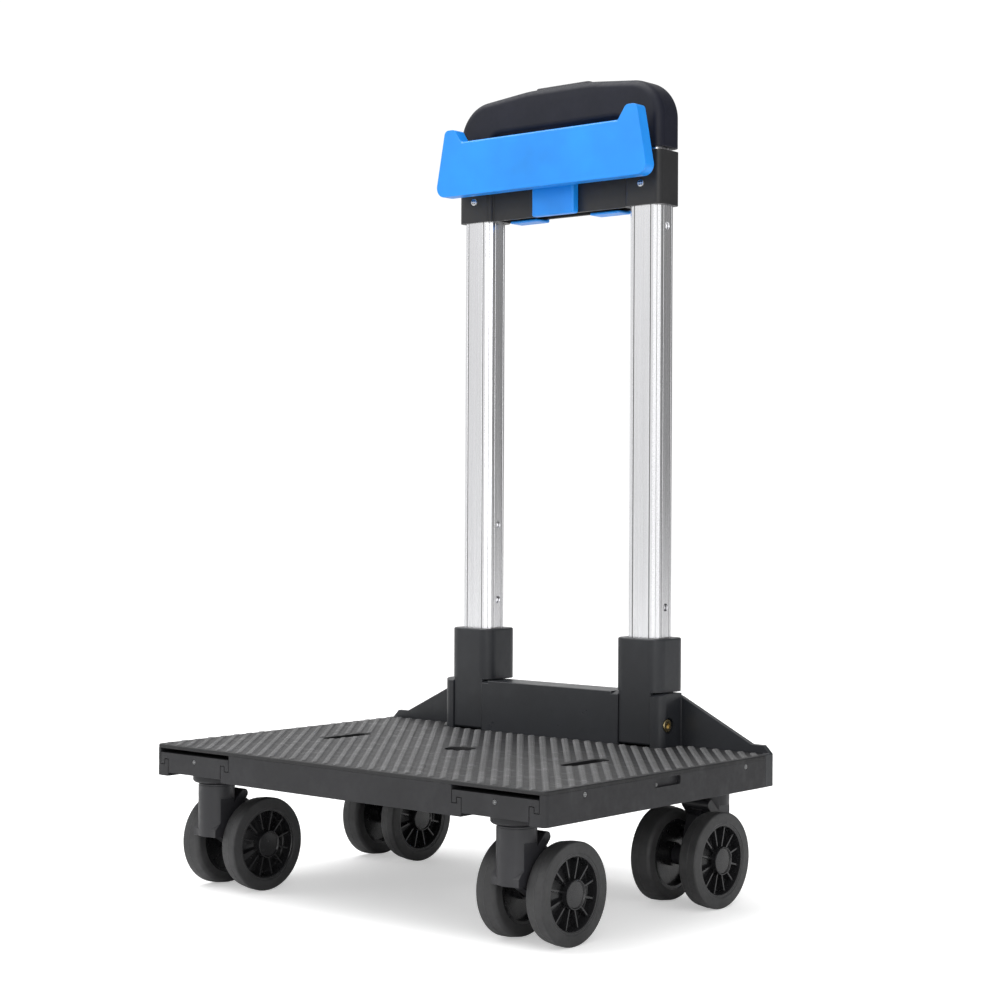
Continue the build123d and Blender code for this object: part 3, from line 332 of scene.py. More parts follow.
def ridge_tree():
    """One low hexagonal ridge on every point, turned to slant across its row."""
    tree, start, end = geometry_tree("deck ridges")
    for name in ("Ridge length", "Ridge width", "Ridge height", "Turn"):
        socket(tree, name)
    cone = add_node(tree, "GeometryNodeMeshCone", -600, -200)
    cone.inputs["Vertices"].default_value = 6
    cone.inputs["Radius Bottom"].default_value = 0.5
    cone.inputs["Radius Top"].default_value = 0.33
    cone.inputs["Depth"].default_value = 1.0
    size = add_node(tree, "ShaderNodeCombineXYZ", -600, 200)
    tree.links.new(start.outputs["Ridge length"], size.inputs["X"])
    tree.links.new(start.outputs["Ridge width"], size.inputs["Y"])
    tree.links.new(start.outputs["Ridge height"], size.inputs["Z"])
    turn = add_node(tree, "ShaderNodeCombineXYZ", -600, 0)
    tree.links.new(start.outputs["Turn"], turn.inputs["Z"])
    copies = add_node(tree, "GeometryNodeInstanceOnPoints", 200, 0)
    tree.links.new(start.outputs["Geometry"], copies.inputs["Points"])
    tree.links.new(cone.outputs["Mesh"], copies.inputs["Instance"])
    tree.links.new(turn.outputs["Vector"], copies.inputs["Rotation"])
    tree.links.new(size.outputs["Vector"], copies.inputs["Scale"])
    # The ridges get the lighter plastic, whose grey is partly painted sheen.
    close_tree(tree, end, copies.outputs["Instances"], ridge_wear_and_painted_sheen_plastic)
    return tree


row_pitch = 9.45 * MM
ridge_pitch = 3.3 * MM
ridge_length = 7.4 * MM
ridge_width = 2.3 * MM
ridge_height = 0.9 * MM
ridge_sink = 0.1 * MM
ridge_slant = math.radians(32)
row_angle = math.radians(40)
bare_margin = 3.4 * MM
deck_slot_clear = 3.5 * MM

deck_low, deck_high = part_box("deck_panel")
hinge_low, hinge_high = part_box("hinge_bolts")
bracket_half = hinge_high.x + 0.7 * MM
bracket_front = (hinge_low.y + hinge_high.y) / 2 - 10.5 * MM
slot_x = deck_high.x - 79.0 * MM
slot_y = -3.0 * MM
slot_half_length = 27.0 * MM
slot_radius = 6.5 * MM
hole_radius = 13.0 * MM


def deck_is_bare(x, y):
    """Whether a ridge here would touch an edge, a slot, the hole or the bracket."""
    if abs(x) > deck_high.x - bare_margin or not deck_low.y + bare_margin < y < deck_high.y - bare_margin:
        return True
    if abs(x) < bracket_half + bare_margin and y > bracket_front - bare_margin:
        return True
    along = max(abs(y - slot_y) - (slot_half_length - slot_radius), 0.0)
    if math.hypot(abs(x) - slot_x, along) < slot_radius + deck_slot_clear:
        return True
    return math.hypot(x, y - slot_y) < hole_radius + deck_slot_clear


across = Vector((math.cos(row_angle), math.sin(row_angle), 0))
along_row = Vector((-math.sin(row_angle), math.cos(row_angle), 0))
reach = (deck_high - deck_low).length / 2
rows = int(reach / row_pitch)
steps = int(reach / ridge_pitch)
ridge_places = []
for row in range(-rows, rows + 1):
    for step in range(-steps, steps + 1):
        spot = across * row * row_pitch + along_row * (step + 0.5 * (row % 2)) * ridge_pitch
        if not deck_is_bare(spot.x, spot.y):
            ridge_places.append((spot.x, spot.y, deck_high.z - ridge_sink))
deck_ridges = grow(points_piece("deck_ridges", ridge_places), ridge_tree(), {
    "Ridge length": ridge_length, "Ridge width": ridge_width, "Ridge height": ridge_height,
    "Turn": row_angle + ridge_slant})
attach(deck_ridges, "base")


# ---------------------------------------------------------------------------------------------
# Screws: pan heads with a cross recess, pressed from zinc-plated steel wire. They hold the deck, the
# bracket and the wall from below and behind, and trim the side walls, the arms and the sleeves.
# The two on the collars are brighter, because they are chrome-plated.
# ---------------------------------------------------------------------------------------------


def plated_metal(name, colour, roughness, streak=(1.0, 1.0, 1.0), wear=0.08):
    """Plated or bright metal with fine drawing marks and small changes in polish."""
    material, tree, shader = new_material(name)
    place = add_node(tree, "ShaderNodeTexCoord", -1100, 0)
    marks = noise(tree, place, 900.0, 3.0, stretch=streak, y=-100)
    tone = spread(tree, noise(tree, place, 90.0, 3.0, y=300), 0.0, 1.0, y=300)
    body = two_colours(tree, tone, [c * 0.86 for c in colour], colour)
    tree.links.new(body, shader.inputs["Base Color"])
    polish = spread(tree, marks, roughness + wear, roughness - wear, y=-100)
    tree.links.new(polish, shader.inputs["Roughness"])
    bump(tree, shader, marks, 0.01 * MM, 0.5)
    shader.inputs["Metallic"].default_value = 1.0
    return material


def solids_of(node):
    """The vertices of each separate solid in a node."""
    mesh = merged_copy(node)
    left = set(mesh.verts)
    found = []
    while left:
        stack = [left.pop()]
        group = []
        while stack:
            vertex = stack.pop()
            group.append(vertex.co.copy())
            for edge in vertex.link_edges:
                other = edge.other_vert(vertex)
                if other in left:
                    left.remove(other)
                    stack.append(other)
        found.append(group)
    mesh.free()
    return found


def axis_of(points):
    """Centre, outward direction of the head, head radius, shank radius and length of a screw."""
    low = Vector([min(p[i] for p in points) for i in range(3)])
    high = Vector([max(p[i] for p in points) for i in range(3)])
    size = high - low
    axis = min(range(3), key=lambda i: abs(size[(i + 1) % 3] - size[(i + 2) % 3]))
    centre = (low + high) / 2
    skin = 0.05 * MM
    spans = []
    for end, sign in ((low, -1), (high, 1)):
        near = [p for p in points if abs(p[axis] - end[axis]) < skin]
        radius = max((p - centre).xyz.length_squared - (p - centre)[axis] ** 2 for p in near) ** 0.5
        spans.append((radius, sign, end[axis]))
    spans.sort()
    shank, head = spans
    facing = Vector((0, 0, 0))
    facing[axis] = head[1]
    top = centre.copy()
    top[axis] = head[2]
    return top, facing, head[0], shank[0], size[axis]


def screw_tree(name, material):
    """A screw on every point: a unit head and a unit shank, sized and turned by attributes."""
    tree, start, end = geometry_tree(name)
    for title in ("Head share", "Recess share"):
        socket(tree, title)

    def attribute(title, at, kind="FLOAT_VECTOR"):
        node = add_node(tree, "GeometryNodeInputNamedAttribute", -300, at, data_type=kind)
        node.inputs["Name"].default_value = title
        return node.outputs["Attribute"]

    def lowered(mesh, by, at):
        half = add_node(tree, "ShaderNodeMath", -450, at, operation="MULTIPLY")
        half.inputs[1].default_value = -0.5
        if isinstance(by, float):
            half.inputs[0].default_value = by
        else:
            tree.links.new(by, half.inputs[0])
        shift = add_node(tree, "ShaderNodeCombineXYZ", -300, at)
        tree.links.new(half.outputs[0], shift.inputs["Z"])
        move = add_node(tree, "GeometryNodeTransform", -100, at)
        tree.links.new(mesh, move.inputs["Geometry"])
        tree.links.new(shift.outputs["Vector"], move.inputs["Translation"])
        return move.outputs["Geometry"]

    head = add_node(tree, "GeometryNodeMeshCone", -600, 500)
    head.inputs["Vertices"].default_value = 28
    head.inputs["Radius Bottom"].default_value = 1.0
    head.inputs["Radius Top"].default_value = 0.82
    tree.links.new(start.outputs["Head share"], head.inputs["Depth"])
    double = add_node(tree, "ShaderNodeMath", -600, 300, operation="MULTIPLY")
    double.inputs[1].default_value = 2.0
    tree.links.new(start.outputs["Head share"], double.inputs[0])
    cut = add_node(tree, "GeometryNodeMeshBoolean", 100, 300, operation="DIFFERENCE")
    cut.solver = "EXACT"
    tree.links.new(lowered(head.outputs["Mesh"], double.outputs[0], 500), cut.inputs["Mesh 1"])
    for along, across_bar in (("X", "Y"), ("Y", "X")):
        bar_size = add_node(tree, "ShaderNodeCombineXYZ", -500, 100)
        bar_size.inputs[along].default_value = 1.1
        tree.links.new(start.outputs["Recess share"], bar_size.inputs[across_bar])
        tree.links.new(start.outputs["Head share"], bar_size.inputs["Z"])
        bar = add_node(tree, "GeometryNodeMeshCube", -300, 100)
        tree.links.new(bar_size.outputs["Vector"], bar.inputs["Size"])
        tree.links.new(bar.outputs["Mesh"], cut.inputs["Mesh 2"])
    shank = add_node(tree, "GeometryNodeMeshCylinder", -600, -100)
    shank.inputs["Vertices"].default_value = 20
    shank.inputs["Radius"].default_value = 1.0
    shank.inputs["Depth"].default_value = 1.0
    turn = add_node(tree, "FunctionNodeAlignRotationToVector", -100, -300, axis="Z")
    tree.links.new(attribute("facing", -300), turn.inputs["Vector"])
    both = add_node(tree, "GeometryNodeJoinGeometry", 450, 0)
    stem = lowered(shank.outputs["Mesh"], 1.0, -100)
    for mesh, size in ((cut.outputs["Mesh"], "head size"), (stem, "shank size")):
        copies = add_node(tree, "GeometryNodeInstanceOnPoints", 300, 0)
        tree.links.new(start.outputs["Geometry"], copies.inputs["Points"])
        tree.links.new(mesh, copies.inputs["Instance"])
        tree.links.new(turn.outputs["Rotation"], copies.inputs["Rotation"])
        tree.links.new(attribute(size, -450), copies.inputs["Scale"])
        tree.links.new(copies.outputs["Instances"], both.inputs["Geometry"])
    close_tree(tree, end, both.outputs["Geometry"], material)
    return tree


zinc_steel = plated_metal("zinc-plated steel", (0.36, 0.365, 0.37), 0.36)
bright_chrome = plated_metal("bright chrome", (0.86, 0.87, 0.88), 0.12, wear=0.04)
zinc_screws = screw_tree("zinc screws", zinc_steel)
chrome_screws = screw_tree("chrome screws", bright_chrome)
recess_share = 0.28


def screws(node, tree, body, head_share):
    """Screws in place of a node's plain ones; head_share is the head's height over its radius."""
    found = [axis_of(points) for points in solids_of(node)]
    piece = points_piece(node + "_pressed", [top for top, *rest in found])
    layers = [piece.data.attributes.new(title, "FLOAT_VECTOR", "POINT")
              for title in ("facing", "head size", "shank size")]
    for i, (top, facing, head, shank, length) in enumerate(found):
        for layer, value in zip(layers, (facing, (head, head, head), (shank, shank, length))):
            layer.data[i].vector = value
    grow(piece, tree, {"Head share": head_share, "Recess share": recess_share})
    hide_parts(node)
    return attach(piece, body)


for node, body, head_share in (
        ("base_screws", "base", 0.66), ("side_screws", "base", 0.45), ("arm_screw_left", "arm_left", 0.4),
        ("arm_screw_right", "arm_right", 0.4), ("foot_screws", "mast", 0.66),
        ("grip_screws", "handle", 0.57)):
    screws(node, zinc_screws, body, head_share)
screws("collar_screws", chrome_screws, "mast", 0.44)


# ---------------------------------------------------------------------------------------------
# Mast bracket: a box across the back of the deck with the low wall behind it, one moulding.
# The mast's feet turn on two bolts through its cheeks; yellow-passivated heads, sunk in the cheeks.
# ---------------------------------------------------------------------------------------------
foot_plastic = moulded_plastic("mast foot plastic", (0.016, 0.0175, 0.021), 0.38, grain=0.35 * MM,
                               grain_depth=0.02 * MM, scuffs=0.08)
softened("mast_bracket", foot_plastic, 0.6 * MM, "base")
brass_plated = plated_metal("yellow-passivated steel", (0.62, 0.50, 0.27), 0.28)


def painted(material, *nodes):
    """Gives nodes that stay as they are their material."""
    for node in nodes:
        data = frame["nodes"][node].data
        data.materials.clear()
        data.materials.append(material)


painted(brass_plated, "hinge_bolts")
painted(zinc_steel, "hinge_nuts")


# ---------------------------------------------------------------------------------------------
# Front arms: two channels that pull out of the base towards the front, each with a caster socket
# under its nose. Same polypropylene as the base, with a small screw in the middle of the face.
# ---------------------------------------------------------------------------------------------
for side in ("left", "right"):
    softened(f"front_arm_{side}", platform_plastic, 0.45 * MM, f"arm_{side}")


# ---------------------------------------------------------------------------------------------
# Caster bodies: black nylon, moulded round a steel kingpin, with a hood between the twin wheels.
# Kingpin and axle are turned steel, zinc-plated.
# ---------------------------------------------------------------------------------------------
corners = ("front_left", "front_right", "rear_left", "rear_right")
caster_plastic = moulded_plastic("caster nylon", (0.020, 0.020, 0.023), 0.42, grain=0.5 * MM,
                                 grain_depth=0.02 * MM, scuffs=0.12)
for corner in corners:
    softened(f"caster_body_{corner}", caster_plastic, 0.7 * MM, f"caster_{corner}")
    painted(zinc_steel, f"kingpin_{corner}", f"axle_{corner}")


# ---------------------------------------------------------------------------------------------
# Wheels: a glossy black hub with twelve spokes and a snap-in cap, and a grey-black rubber tyre
# moulded onto its rim. The tread is slightly crowned and has the mould's parting line round it.
# ---------------------------------------------------------------------------------------------
tyre_low, tyre_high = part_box("tyre_front_right_outer")
wheel_low, wheel_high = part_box("wheel_front_right_outer")
caster_low, caster_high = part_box("caster_body_front_right")
caster_x = (caster_low.x + caster_high.x) / 2
tyre_radius = (tyre_high.z - tyre_low.z) / 2
rim_radius = (wheel_high.z - wheel_low.z) / 2
tyre_inner = tyre_low.x - caster_x
tyre_outer = tyre_high.x - caster_x
cap_outer = wheel_high.x - caster_x


def arc(cx, cy, radius, start, end, steps):
    """Points on an arc, angles in degrees."""
    turns = [math.radians(start + (end - start) * i / steps) for i in range(steps + 1)]
    return [(cx + radius * math.cos(a), cy + radius * math.sin(a)) for a in turns]


def turned(profile, segments):
    """A closed ring turned about X from points (x, radius) that go round its section."""
    ring = bmesh.new()
    loops = []
    for i in range(segments):
        a = 2 * math.pi * i / segments
        loops.append([ring.verts.new((x, r * math.cos(a), r * math.sin(a))) for x, r in profile])
    for i, loop in enumerate(loops):
        following = loops[(i + 1) % segments]
        for j in range(len(profile)):
            k = (j + 1) % len(profile)
            ring.faces.new((loop[j], loop[k], following[k], following[j]))
    bmesh.ops.remove_doubles(ring, verts=ring.verts, dist=0.001 * MM)
    bmesh.ops.recalc_face_normals(ring, faces=ring.faces)
    return ring


def tyre_profile():
    """Section of the tyre, from its inner face over the tread to its outer face."""
    shoulder = 1.4 * MM
    inner_shoulder = 4.0 * MM
    crown = 1.1 * MM
    line_half = 0.25 * MM
    line_height = 0.12 * MM
    rest = tyre_outer - shoulder
    start = tyre_inner + inner_shoulder
    tread = []
    steps = 10
    for i in range(steps + 1):
        x = start + (rest - start) * i / steps
        tread.append((x, tyre_radius - crown * ((rest - x) / (rest - start)) ** 2))
    middle = (start + rest) / 2
    lift = tread[steps // 2][1]
    line = [(middle - line_half, lift), (middle, lift + line_height), (middle + line_half, lift)]
    tread = tread[:steps // 2] + line + tread[steps // 2 + 1:]
    inside = arc(start, tread[0][1] - inner_shoulder, inner_shoulder, 180, 100, 6)
    outside = arc(rest, tyre_radius - shoulder, shoulder, 80, 0, 5)
    lip = rim_radius + 1.3 * MM
    lip_face = tyre_outer - 0.45 * MM
    wall = [(tyre_outer, lip + 0.5 * MM), (lip_face, lip), (lip_face, rim_radius)]
    return inside + tread + outside + wall + [(tyre_inner, rim_radius)]


tyre_rubber = rubber("tyre rubber", ((0.023, 0.023, 0.024), (0.036, 0.036, 0.037)), (0.62, 0.48),
                     (60.0, 5.0), (350.0, 4.0), (1600.0, 3.0), 0.04 * MM, sheen=0.05)
hub_plastic = moulded_plastic("hub plastic, glossy", (0.012, 0.012, 0.013), 0.24, grain=2.5 * MM,
                              grain_depth=0.02 * MM, scuffs=0.06)


def spoke_tree():
    """The turned core with spokes standing between its hub and its rim."""
    draft_share = 90.0
    tree, start, end = geometry_tree("wheel spokes")
    for name in ("Spoke thickness", "Hub radius", "Rim radius", "Spoke foot", "Spoke top"):
        socket(tree, name)
    socket(tree, "Spokes", "NodeSocketInt")

    def combined(operation, first, second, y):
        node = add_node(tree, "ShaderNodeMath", -700, y, operation=operation)
        for i, value in enumerate((first, second)):
            if isinstance(value, (int, float)):
                node.inputs[i].default_value = value
            else:
                tree.links.new(value, node.inputs[i])
        return node.outputs[0]

    given = start.outputs
    depth = combined("SUBTRACT", given["Spoke top"], given["Spoke foot"], 400)
    middle = combined("MULTIPLY", combined("ADD", given["Spoke top"], given["Spoke foot"], 350), 0.5, 300)
    length = combined("SUBTRACT", given["Rim radius"], given["Hub radius"], 250)
    out = combined("MULTIPLY", combined("ADD", given["Rim radius"], given["Hub radius"], 200), 0.5, 150)
    size = add_node(tree, "ShaderNodeCombineXYZ", -450, 300)
    tree.links.new(depth, size.inputs["X"])
    tree.links.new(given["Spoke thickness"], size.inputs["Y"])
    tree.links.new(length, size.inputs["Z"])
    place = add_node(tree, "ShaderNodeCombineXYZ", -450, 100)
    tree.links.new(middle, place.inputs["X"])
    tree.links.new(out, place.inputs["Z"])
    block = add_node(tree, "GeometryNodeMeshCube", -250, 300)
    tree.links.new(size.outputs["Vector"], block.inputs["Size"])
    block.inputs["Vertices X"].default_value = 2
    block.inputs["Vertices Z"].default_value = 4
    draft = add_node(tree, "GeometryNodeSetPosition", -50, 300)
    corner = add_node(tree, "GeometryNodeInputPosition", -650, -100)
    parts = add_node(tree, "ShaderNodeSeparateXYZ", -450, -100)
    tree.links.new(corner.outputs["Position"], parts.inputs["Vector"])
    lean = combined("MULTIPLY", parts.outputs["X"], -draft_share, -200)
    offset = add_node(tree, "ShaderNodeCombineXYZ", 0, -200)
    tree.links.new(combined("MULTIPLY", parts.outputs["Y"], lean, -250), offset.inputs["Y"])
    tree.links.new(block.outputs["Mesh"], draft.inputs["Geometry"])
    tree.links.new(offset.outputs["Vector"], draft.inputs["Offset"])
    move = add_node(tree, "GeometryNodeTransform", 100, 300)
    tree.links.new(draft.outputs["Geometry"], move.inputs["Geometry"])
    tree.links.new(place.outputs["Vector"], move.inputs["Translation"])
    points = add_node(tree, "GeometryNodePoints", -50, 0)
    tree.links.new(given["Spokes"], points.inputs["Count"])
    index = add_node(tree, "GeometryNodeInputIndex", -700, -400)
    share = combined("DIVIDE", combined("ADD", index.outputs["Index"], 0.5, -400), given["Spokes"], -450)
    angle = combined("MULTIPLY", share, 2 * math.pi, -500)
    turn = add_node(tree, "ShaderNodeCombineXYZ", 0, -450)
    tree.links.new(angle, turn.inputs["X"])
    copies = add_node(tree, "GeometryNodeInstanceOnPoints", 250, 100)
    tree.links.new(points.outputs["Points"], copies.inputs["Points"])
    tree.links.new(move.outputs["Geometry"], copies.inputs["Instance"])
    tree.links.new(turn.outputs["Vector"], copies.inputs["Rotation"])
    both = add_node(tree, "GeometryNodeJoinGeometry", 400, 0)
    tree.links.new(given["Geometry"], both.inputs["Geometry"])
    tree.links.new(copies.outputs["Instances"], both.inputs["Geometry"])
    close_tree(tree, end, both.outputs["Geometry"], hub_plastic)
    return tree


hub_radius = 9.5 * MM
hub_foot = tyre_inner + 0.2 * MM
rim_face = tyre_outer - 0.6 * MM
rim_back = tyre_inner + 0.6 * MM
web_back = 19.5 * MM
bowl_floor = 22.6 * MM
bowl_rise = 25.4 * MM
bowl_radius = rim_radius - 3.4 * MM
cap_radius = 11.3 * MM
cap_foot = 28.0 * MM
cap_lip = 1.2 * MM
cap_dish = 1.0 * MM


def wheel_mesh():
    """Turned core, its cap and the spokes, about X at the origin."""
    bore = 3.05 * MM
    core = turned([
        (hub_foot, bore), (hub_foot, hub_radius), (web_back, hub_radius + 0.3 * MM),
        (web_back, bowl_radius), (rim_back, bowl_radius + 0.6 * MM), (rim_back, rim_radius),
        (rim_face, rim_radius), (rim_face, rim_radius - 0.9 * MM),
        (rim_face - 0.4 * MM, rim_radius - 1.3 * MM),
        (bowl_floor + 0.6 * MM, bowl_radius + 0.2 * MM), (bowl_floor, bowl_radius - 0.6 * MM),
        (bowl_rise, hub_radius + 0.6 * MM), (bowl_rise + 0.5 * MM, hub_radius), (cap_foot, hub_radius),
        (cap_foot, bore)], 72)
    dish = cap_radius - cap_lip
    dish_floor = cap_outer - cap_dish
    edge = 0.6 * MM
    cap = turned(
        [(cap_foot, 0.0), (cap_foot, cap_radius - 0.3 * MM), (cap_foot + 0.3 * MM, cap_radius)]
        + arc(cap_outer - edge, cap_radius - edge, edge, 90, 0, 4)
        + [(cap_outer, dish + 0.3 * MM), (cap_outer - 0.35 * MM, dish), (dish_floor, dish - 0.5 * MM),
           (dish_floor + 0.25 * MM, dish * 0.5), (dish_floor + 0.35 * MM, 0.0)], 48)
    mesh = bpy.data.meshes.new("wheel core")
    cap_mesh = bpy.data.meshes.new("wheel cap")
    cap.to_mesh(cap_mesh)
    core.from_mesh(cap_mesh)
    core.to_mesh(mesh)
    core.free()
    cap.free()
    bpy.data.meshes.remove(cap_mesh)
    piece = finished("wheel_pattern", mesh, hub_plastic, 32)
    grow(piece, spoke_tree(), {
        "Spokes": 12, "Spoke thickness": 1.9 * MM, "Hub radius": hub_radius - 0.5 * MM,
        "Rim radius": rim_radius - 1.6 * MM, "Spoke foot": bowl_floor - 0.4 * MM,
        "Spoke top": cap_foot + 0.8 * MM})
    mesh = piece.data
    bpy.data.objects.remove(piece)
    return mesh


tyre_mesh = bpy.data.meshes.new("tyre")
turned(tyre_profile(), 112).to_mesh(tyre_mesh)
core_mesh = wheel_mesh()
for corner in corners:
    body_low, body_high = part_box(f"caster_body_{corner}")
    middle_x = (body_low.x + body_high.x) / 2
    for side in ("inner", "outer"):
        tyre_node = f"tyre_{corner}_{side}"
        wheel_node = f"wheel_{corner}_{side}"
        low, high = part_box(tyre_node)
        half_turn = Matrix.Rotation(0.0 if low.x > middle_x else math.pi, 4, "Z")
        place = Matrix.Translation((middle_x, (low.y + high.y) / 2, (low.z + high.z) / 2)) @ half_turn
        for node, pattern, material, slot in ((tyre_node, tyre_mesh, tyre_rubber, "tyre_rubber"),
                                              (wheel_node, core_mesh, hub_plastic, "hub_plastic")):
            mesh = pattern.copy()
            mesh.transform(place)
            piece = finished(node + "_moulding", mesh, material, 30)
            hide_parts(node)
            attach(piece, f"wheel_{corner}_{side}")


# ---------------------------------------------------------------------------------------------
# Mast feet: two sockets for the tubes, each with a hinged tongue below that stands in the bracket.
# Satin dark grey plastic.
# ---------------------------------------------------------------------------------------------
for side in ("left", "right"):
    softened(f"foot_{side}", foot_plastic, 0.7 * MM, "mast")


# ---------------------------------------------------------------------------------------------
# Tubes: satin anodised aluminium extrusions. The outer ones have a fine groove each side of every
# bevelled corner and punched holes for the lock pins; the inner ones slide in them.
# ---------------------------------------------------------------------------------------------
# Painted shade: groove floors and the fine line in each chamfer are darkened in the aluminium's colour,
# by the amount this vertex attribute holds.
groove_shade_layer = "groove"
groove_shade_tone = 0.16


def extruded_aluminium(name, colour, roughness):
    """Anodised extrusion with die lines along its length, darkened by painted shade in its grooves."""
    material, tree, shader = new_material(name)
    place = add_node(tree, "ShaderNodeTexCoord", -1100, 0)
    lines = noise(tree, place, 1300.0, 4.0, stretch=(1.0, 1.0, 0.004), y=-100)
    broad = noise(tree, place, 180.0, 2.0, stretch=(1.0, 1.0, 0.02), y=300)
    tone = spread(tree, broad, 0.0, 1.0, y=300)
    body = two_colours(tree, tone, [c * 0.93 for c in colour], colour)
    # Painted shade: the colour goes dark where the attribute marks a groove floor or the chamfer line.
    groove_shade_mask = add_node(tree, "ShaderNodeAttribute", -300, 600, attribute_name=groove_shade_layer)
    groove_shaded = add_node(tree, "ShaderNodeMix", 200, 400, data_type="RGBA")
    tree.links.new(groove_shade_mask.outputs["Fac"], groove_shaded.inputs["Factor"])
    tree.links.new(body, groove_shaded.inputs["A"])
    groove_shaded.inputs["B"].default_value = (*[c * groove_shade_tone for c in colour], 1.0)
    tree.links.new(groove_shaded.outputs["Result"], shader.inputs["Base Color"])
    polish = spread(tree, lines, roughness + 0.06, roughness - 0.06, y=-100)
    tree.links.new(polish, shader.inputs["Roughness"])
    bump(tree, shader, lines, 0.006 * MM, 0.3)
    shader.inputs["Metallic"].default_value = 1.0
    shader.inputs["Anisotropic"].default_value = 0.35
    return material


tube_aluminium = extruded_aluminium("anodised aluminium", (0.90, 0.90, 0.92), 0.25)
tube_wall = 1.5 * MM
tube_corner = 7.0 * MM
groove_depth = 0.45 * MM
groove_width = 1.5 * MM
groove_wall_share = 0.3
round_degrees = 18
tube_sharp_degrees = 20
line_depth = 0.15 * MM
line_half = 0.3 * MM
# Share of the painted shade that darkens the fine line in each chamfer.
line_painted_shade = 0.45
hole_radius_tube = 3.3 * MM
screw_hole = 2.0 * MM


def tube_section(half_x, half_y, corner, grooves):
    """Points (x, y, painted shade) round a tube's outline. With grooves, each corner is a chamfer with
    small rounds and a fine line in its middle, between two grooves in the flats; groove floors and line
    carry painted shade."""
    points = []
    for quarter, (sx, sy) in enumerate(((1, 1), (-1, 1), (-1, -1), (1, -1))):
        centre = Vector((sx * (half_x - corner), sy * (half_y - corner)))
        start = quarter * 90
        if not grooves:
            points += [(x, y, 0.0) for x, y in arc(*centre, corner, start, start + 90, 10)]
            continue
        before = arc(*centre, corner, start, start + round_degrees, 3)
        after = arc(*centre, corner, start + 90 - round_degrees, start + 90, 3)
        chamfer = Vector(after[0]) - Vector(before[-1])
        middle = Vector(before[-1]) + chamfer / 2
        nick = chamfer.normalized() * line_half
        before.append(tuple(middle - nick))
        after.insert(0, tuple(middle + nick))
        line = tuple(middle - Vector((sx, sy)).normalized() * line_depth)
        dips = []
        for end, degrees, along in ((before[0], start, -1), (after[-1], start + 90, 1)):
            outward = Vector((math.cos(math.radians(degrees)), math.sin(math.radians(degrees))))
            flat = Vector((-outward.y, outward.x)) * along * groove_width
            floor = Vector(end) - outward * groove_depth
            # The groove floors get the full painted shade.
            dips.append([(*(floor + flat * groove_wall_share), 1.0),
                         (*(floor + flat * (1 - groove_wall_share)), 1.0), (*(Vector(end) + flat), 0.0)])
        points += reversed(dips[0])
        points += [(x, y, 0.0) for x, y in before] + [(*line, line_painted_shade)]
        points += [(x, y, 0.0) for x, y in after] + dips[1]
    return points


def tube_mesh(centre, half_x, half_y, z0, z1, grooves):
    """Hollow tube between two heights, its wall the extrusion's."""
    tube = bmesh.new()
    outer = tube_section(half_x, half_y, tube_corner, grooves)
    inner = tube_section(half_x - tube_wall, half_y - tube_wall, tube_corner - tube_wall, False)
    shade_amounts = tube.verts.layers.float.new(groove_shade_layer)
    rings = []
    for outline, z in ((outer, z0), (outer, z1), (inner, z1), (inner, z0)):
        rings.append([tube.verts.new((centre.x + x, centre.y + y, z)) for x, y, _ in outline])
        for vertex, (_, _, shading_value) in zip(rings[-1], outline):
            vertex[shade_amounts] = shading_value
    for low, high in ((rings[0], rings[1]), (rings[2], rings[3])):
        for i in range(len(low)):
            k = (i + 1) % len(low)
            tube.faces.new((low[i], low[k], high[k], high[i]))
    for one, other in ((rings[1], rings[2]), (rings[3], rings[0])):
        edges = [tube.edges.get((ring[i], ring[(i + 1) % len(ring)])) for ring in (one, other)
                 for i in range(len(ring))]
        bmesh.ops.bridge_loops(tube, edges=edges)
    bmesh.ops.recalc_face_normals(tube, faces=tube.faces)
    return tube


def punched(piece, holes):
    """Round holes through a wall: each a centre, a radius and the axis it runs along."""
    cutter = bmesh.new()
    for centre, radius, axis, length in holes:
        turn = Matrix.Rotation(math.radians(90), 4, "Y" if axis == "X" else "X")
        bmesh.ops.create_cone(cutter, cap_ends=True, segments=40, radius1=radius, radius2=radius,
                              depth=length, matrix=Matrix.Translation(centre) @ turn)
    mesh = bpy.data.meshes.new("punch")
    cutter.to_mesh(mesh)
    cutter.free()
    tool = bpy.data.objects.new("punch", mesh)
    bpy.context.scene.collection.objects.link(tool)
    cut = piece.modifiers.new("punch", "BOOLEAN")
    cut.operation = "DIFFERENCE"
    cut.solver = "EXACT"
    cut.object = tool
    bake_modifiers(piece)
    bpy.data.objects.remove(tool)
    return piece


